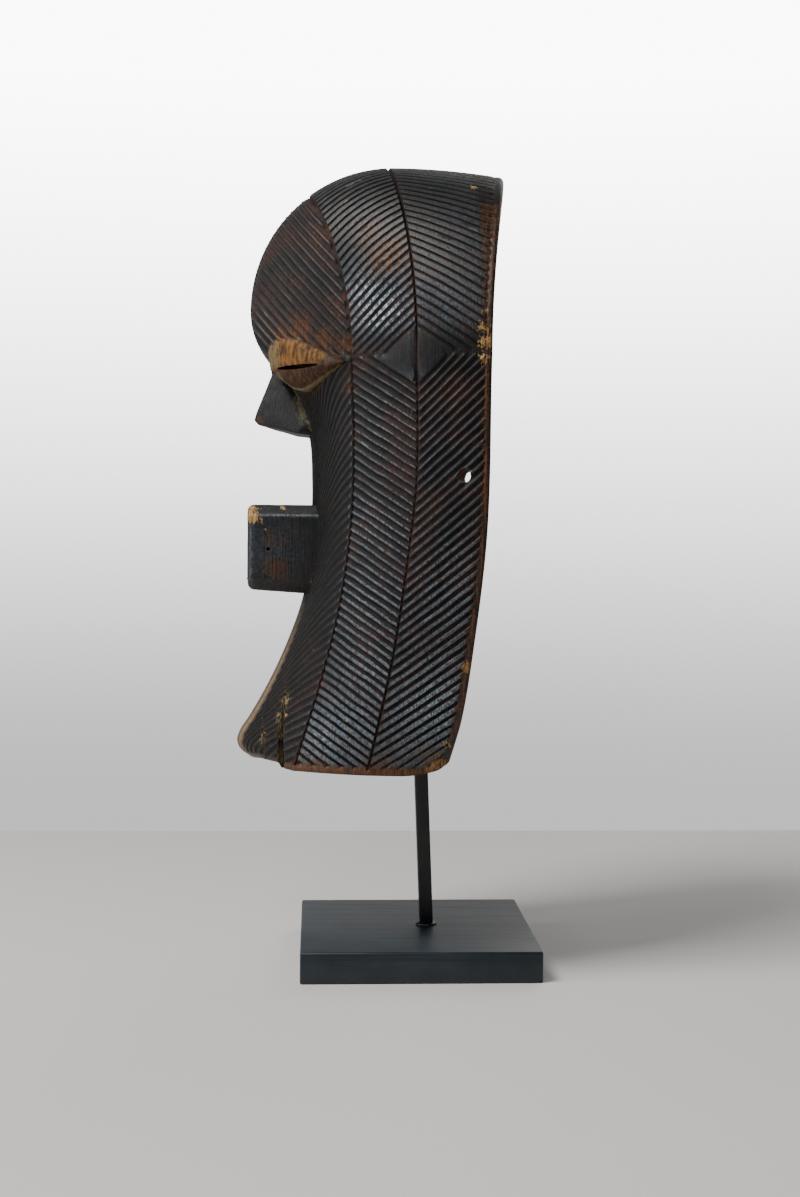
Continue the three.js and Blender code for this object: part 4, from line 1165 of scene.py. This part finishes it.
def spots(points, marks):
    """How strongly each point is marked by a set of places, such as worn spots or painted sheen."""
    total = np.zeros(len(points))
    for x, y, z, reach, strength in marks:
        far = np.linalg.norm(points - (x, y, z), axis=1)
        total = np.maximum(total, strength * hump(far, 0, reach))
    return total


points = np.empty(len(mask.data.vertices) * 3)
mask.data.vertices.foreach_get("co", points)
points = points.reshape(-1, 3) / MM
tree = kdtree.KDTree(len(grooved))
for i, (co, _) in enumerate(grooved):
    tree.insert(co, i)
tree.balance()
near = [tree.find(p) for p in points]
on_skin = np.array([far for _, _, far in near]) < 0.3
depth_of = np.where(on_skin, [grooved[i][1] for _, i, _ in near], 0.0)

# The eyelids, told apart in the eye's own axes.
left = points * np.where(points[:, :1] < 0, (-1, 1, 1), (1, 1, 1))
long, thick, tall = ((left - EYE_PLACE) @ np.array(TURNED @ TIPPED)).T
reach = long / EYE_LONG
full = np.clip(1 - reach**2, 1e-4, 1) ** (0.5 + EYE_POINT / 2)
lid = np.where(tall > 0, UPPER_LID(reach), LOWER_LID(reach)) + 1e-3
swell = np.where(tall > 0, 1 / LID_SWELL, 1)
raised = tall / EYE_TALL / lid
form = (np.abs(thick) / EYE_THICK / full) ** (2 * swell) + raised**2
on_eye = (np.abs(reach) < 1) & (form > 0.8) & (form < 1.5) & (thick < 1) & (depth_of == 0)
# A painted shadow line along the top edge of the upper lid, where it stands out from the brow. It joins the
# carved values so that it takes the dark cut tone.
lid_edge_painted_shadow = on_eye * (tall > 0) * hump(raised, 1, 0.07)
lid_rim = on_eye * (tall < 0) * hump(-raised, LID_RIM, 0.09)
upper = (on_eye - lid_edge_painted_shadow) * rise(tall, -0.75, 0.75) * rise(long, 30, 20)
lower = on_eye * np.maximum(rise(tall, 0.75, -0.75), rise(long, 21, 31))
lid_front = upper * rise(long, -8, -20)

# Plain border, bottom edge and chin band, where handling has thinned the stain.
x, y, z = points.T
across = np.abs(x)
level = np.minimum(z, EYE)
edge = rise(y - skin.line(2, level)[1], -7, -4)
border = edge * (z < 440)
foot = rise(z, BOTTOM + 7, BOTTOM + 3)
chin = rise(z, 217, 212) * (y < -60) * (y > skin.front(level) - 2)
width = np.interp(z, (120, 150, 185, 217), (15, 17, 19, 20))
edge_of_band = rise(across, 0.5 * width, 0.5 * width + 1.5)
chin_band = chin * rise(across, width, width - 3) * mix(0.35, 1, edge_of_band)
chin_band *= np.interp(z, (165, 212), (1, 0.5))

# The regions: the face below the eyes, the forehead over them, the mouth and the nose.
over_line = mix(skin.crown_y[0], skin.line(0, EYE)[1], 1 - ((z - EYE) / (skin.top - EYE)) ** 2)
face = (z < EYE) & (y < skin.line(0, level)[1] - 1)
over = (z > EYE) & (y < over_line - 1)
on_mouth = ~on_skin & (z < 290) & (z > 210) & (y < -58)
on_nose = ~on_skin & (z > 300) & (z < 375) & (y < -64) & (form > 1.5)
by_side = y > skin.line(1, EYE)[1] + 6

# Soot and painted shade: on the cheeks under the brow and on the nose, painted as shade; darker high on the
# sides; and painted shade behind the side line at the eye level.
painted_shade_face = face & (across < 66) & (z > 122) & ~on_mouth
soot_and_painted_shade = np.maximum.reduce([
    painted_shade_face * np.interp(z, (150, 215, 330, 345), (0.45, 0.88, 0.88, 0.25)),
    ~over * 0.5 * rise(z, 392, 417),
    0.85 * on_nose,
    by_side * 0.5 * rise(np.abs(z - EYE), 14, 8),
])

# Bloom and painted sheen everywhere on the carved skin, faint in front, and painted highlight lines on the
# mouth's upper and front edges.
faint = np.where(over, 0.1, np.interp(z, (385, 410), (0.22, 0.1)))
faint = on_skin * np.where(face, 0.06, faint)
# Painted highlight lines along the mouth's upper chamfer and its softened front edges.
upper_edge_highlight = hump(z, MOUTH_HIGH - MOUTH_CHAMFER, 0.8) * (across > MOUTH_HALF - 1)
front_edge_highlight = hump(y, MOUTH_FRONT + 2.4, 0.8) * (across > MOUTH_HALF - 4) * (z > 226) * (z < 262)
mouth_edge_highlight = 0.5 * on_mouth * np.maximum(upper_edge_highlight, front_edge_highlight)
bloom_and_painted_sheen = np.maximum.reduce([spots(points, BLOOM_AND_PAINTED_SHEEN), faint, mouth_edge_highlight]) * (1 - edge) * (1 - foot)
bloom_and_painted_sheen *= np.where(face & ~on_mouth, 0.2, 1) * np.interp(np.abs(z - EYE), (8, 18), (0.12, 1))
bloom_and_painted_sheen *= 1 - corner_wear(points)

marks = {
    # The carved values, with the painted shadow line along the upper lids' top edge.
    "carved": np.maximum(depth_of, lid_edge_painted_shadow),
    "bare": spots(points, BARE),
    "rubbed": np.maximum.reduce([spots(points, RUBBED), 0.55 * border, foot]),
    "dust": np.maximum.reduce([spots(points, DUST), 0.9 * lid_rim, 0.7 * lid_front]),
    "bloom_and_painted_sheen": bloom_and_painted_sheen,
    "band": 0.95 * chin_band,
    "soot_and_painted_shade": soot_and_painted_shade,
    "upper_lid": upper,
    "lower_lid": lower,
}
for name, values in marks.items():
    mask.data.attributes.new(name, "FLOAT", "POINT").data.foreach_set("value", values.astype(np.float32))
finished(mask, "mask", 40)

# Floor and light
# A plain pale floor that ends a little behind the object, against a pale backdrop of even light.
FLOOR_BACK = -420.0
FLOOR_REACH = 1100.0
ground, shader, _ = started("pale_plaster_floor")
feed(ground, shader, {"Base Color": linear("#d9d6d2"), "Roughness": 0.7})
bm = bmesh.new()
bmesh.ops.create_grid(bm, x_segments=1, y_segments=1, size=FLOOR_REACH)
bmesh.ops.translate(bm, vec=(FLOOR_BACK + FLOOR_REACH, 0, 0), verts=bm.verts)
floor = from_bmesh("floor", bm, [ground])

# The lights all aim at the middle of the mask.
AIM = Vector((0, 0, 0.3))


def softbox(name, place, width, height, power, code):
    data = bpy.data.lights.new(name, "AREA")
    data.shape = "RECTANGLE"
    data.size, data.size_y = width, height
    data.energy = power
    data.color = linear(code)[:3]
    light = bpy.data.objects.new(name, data)
    light.location = place
    light.rotation_euler = (AIM - Vector(place)).to_track_quat("-Z", "Y").to_euler()
    bpy.context.scene.collection.objects.link(light)


softbox("window", (0.55, -0.85, 1.6), 0.6, 0.6, 34, "#fffcf8")
softbox("tall window", (0.3, -1.6, 0.5), 0.15, 1.2, 9, "#f6faff")
softbox("front", (1.25, -0.3, 1.3), 0.3, 0.3, 3, "#f0f6ff")
softbox("behind", (-1.3, 0.9, 1.2), 1.2, 1.2, 8, "#fffaf4")

# Backdrop: what the camera sees past the floor, brighter high up. It lights the object only faintly.
BACKDROP_LOW = 0.85
BACKDROP_HIGH = 11.0
BACKDROP_SHEEN = 0.5
AMBIENT_LIGHT = 0.1
world = bpy.data.worlds.new("studio")
bpy.context.scene.world = world
world.use_nodes = True
ray = add(world, "TexCoord", {}, "Generated")
height = add(world, "SeparateXYZ", {0: ray}, "Z")
share = add(world, "MapRange", {"Value": height, "From Min": -0.17, "From Max": 0.26})
share = add(world, "Math", {0: share, 1: 2.2}, operation="POWER")
seen = add(world, "MapRange", {"Value": share, "To Min": BACKDROP_LOW, "To Max": BACKDROP_HIGH})
depth = add(world, "SeparateXYZ", {0: ray}, "X")
behind = {"Value": depth, "From Min": -0.9, "From Max": -0.3}
mirrored = add(world, "MapRange", {**behind, "To Min": BACKDROP_SHEEN, "To Max": AMBIENT_LIGHT})
by_camera = add(world, "LightPath", {}, "Is Camera Ray")
glow = add(world, "Mix", {0: by_camera, 2: mirrored, 3: seen}, data_type="FLOAT")
feed(world, world.node_tree.nodes["Background"], {"Strength": glow, "Color": linear("#f4f5f5")})

# Camera: the photograph's place, a 50 mm lens on a 36 mm frame.
CAMERA_PLACE = (0.998, -0.061, 0.253)
CAMERA_YAW = 2.89
CAMERA_PITCH = 2.15
CAMERA_ROLL = 0.44
camera_data = bpy.data.cameras.new("camera")
camera_data.lens = 50
camera_data.sensor_width = 36
camera = bpy.data.objects.new("camera", camera_data)
yaw, pitch = math.radians(CAMERA_YAW), math.radians(CAMERA_PITCH)
ahead = Vector((-math.cos(yaw) * math.cos(pitch), math.sin(yaw) * math.cos(pitch), -math.sin(pitch)))
turn = ahead.to_track_quat("-Z", "Y") @ Matrix.Rotation(math.radians(CAMERA_ROLL), 3, "Z").to_quaternion()
camera.rotation_mode = "QUATERNION"
camera.rotation_quaternion = turn
camera.location = CAMERA_PLACE
bpy.context.scene.collection.objects.link(camera)
bpy.context.scene.camera = camera
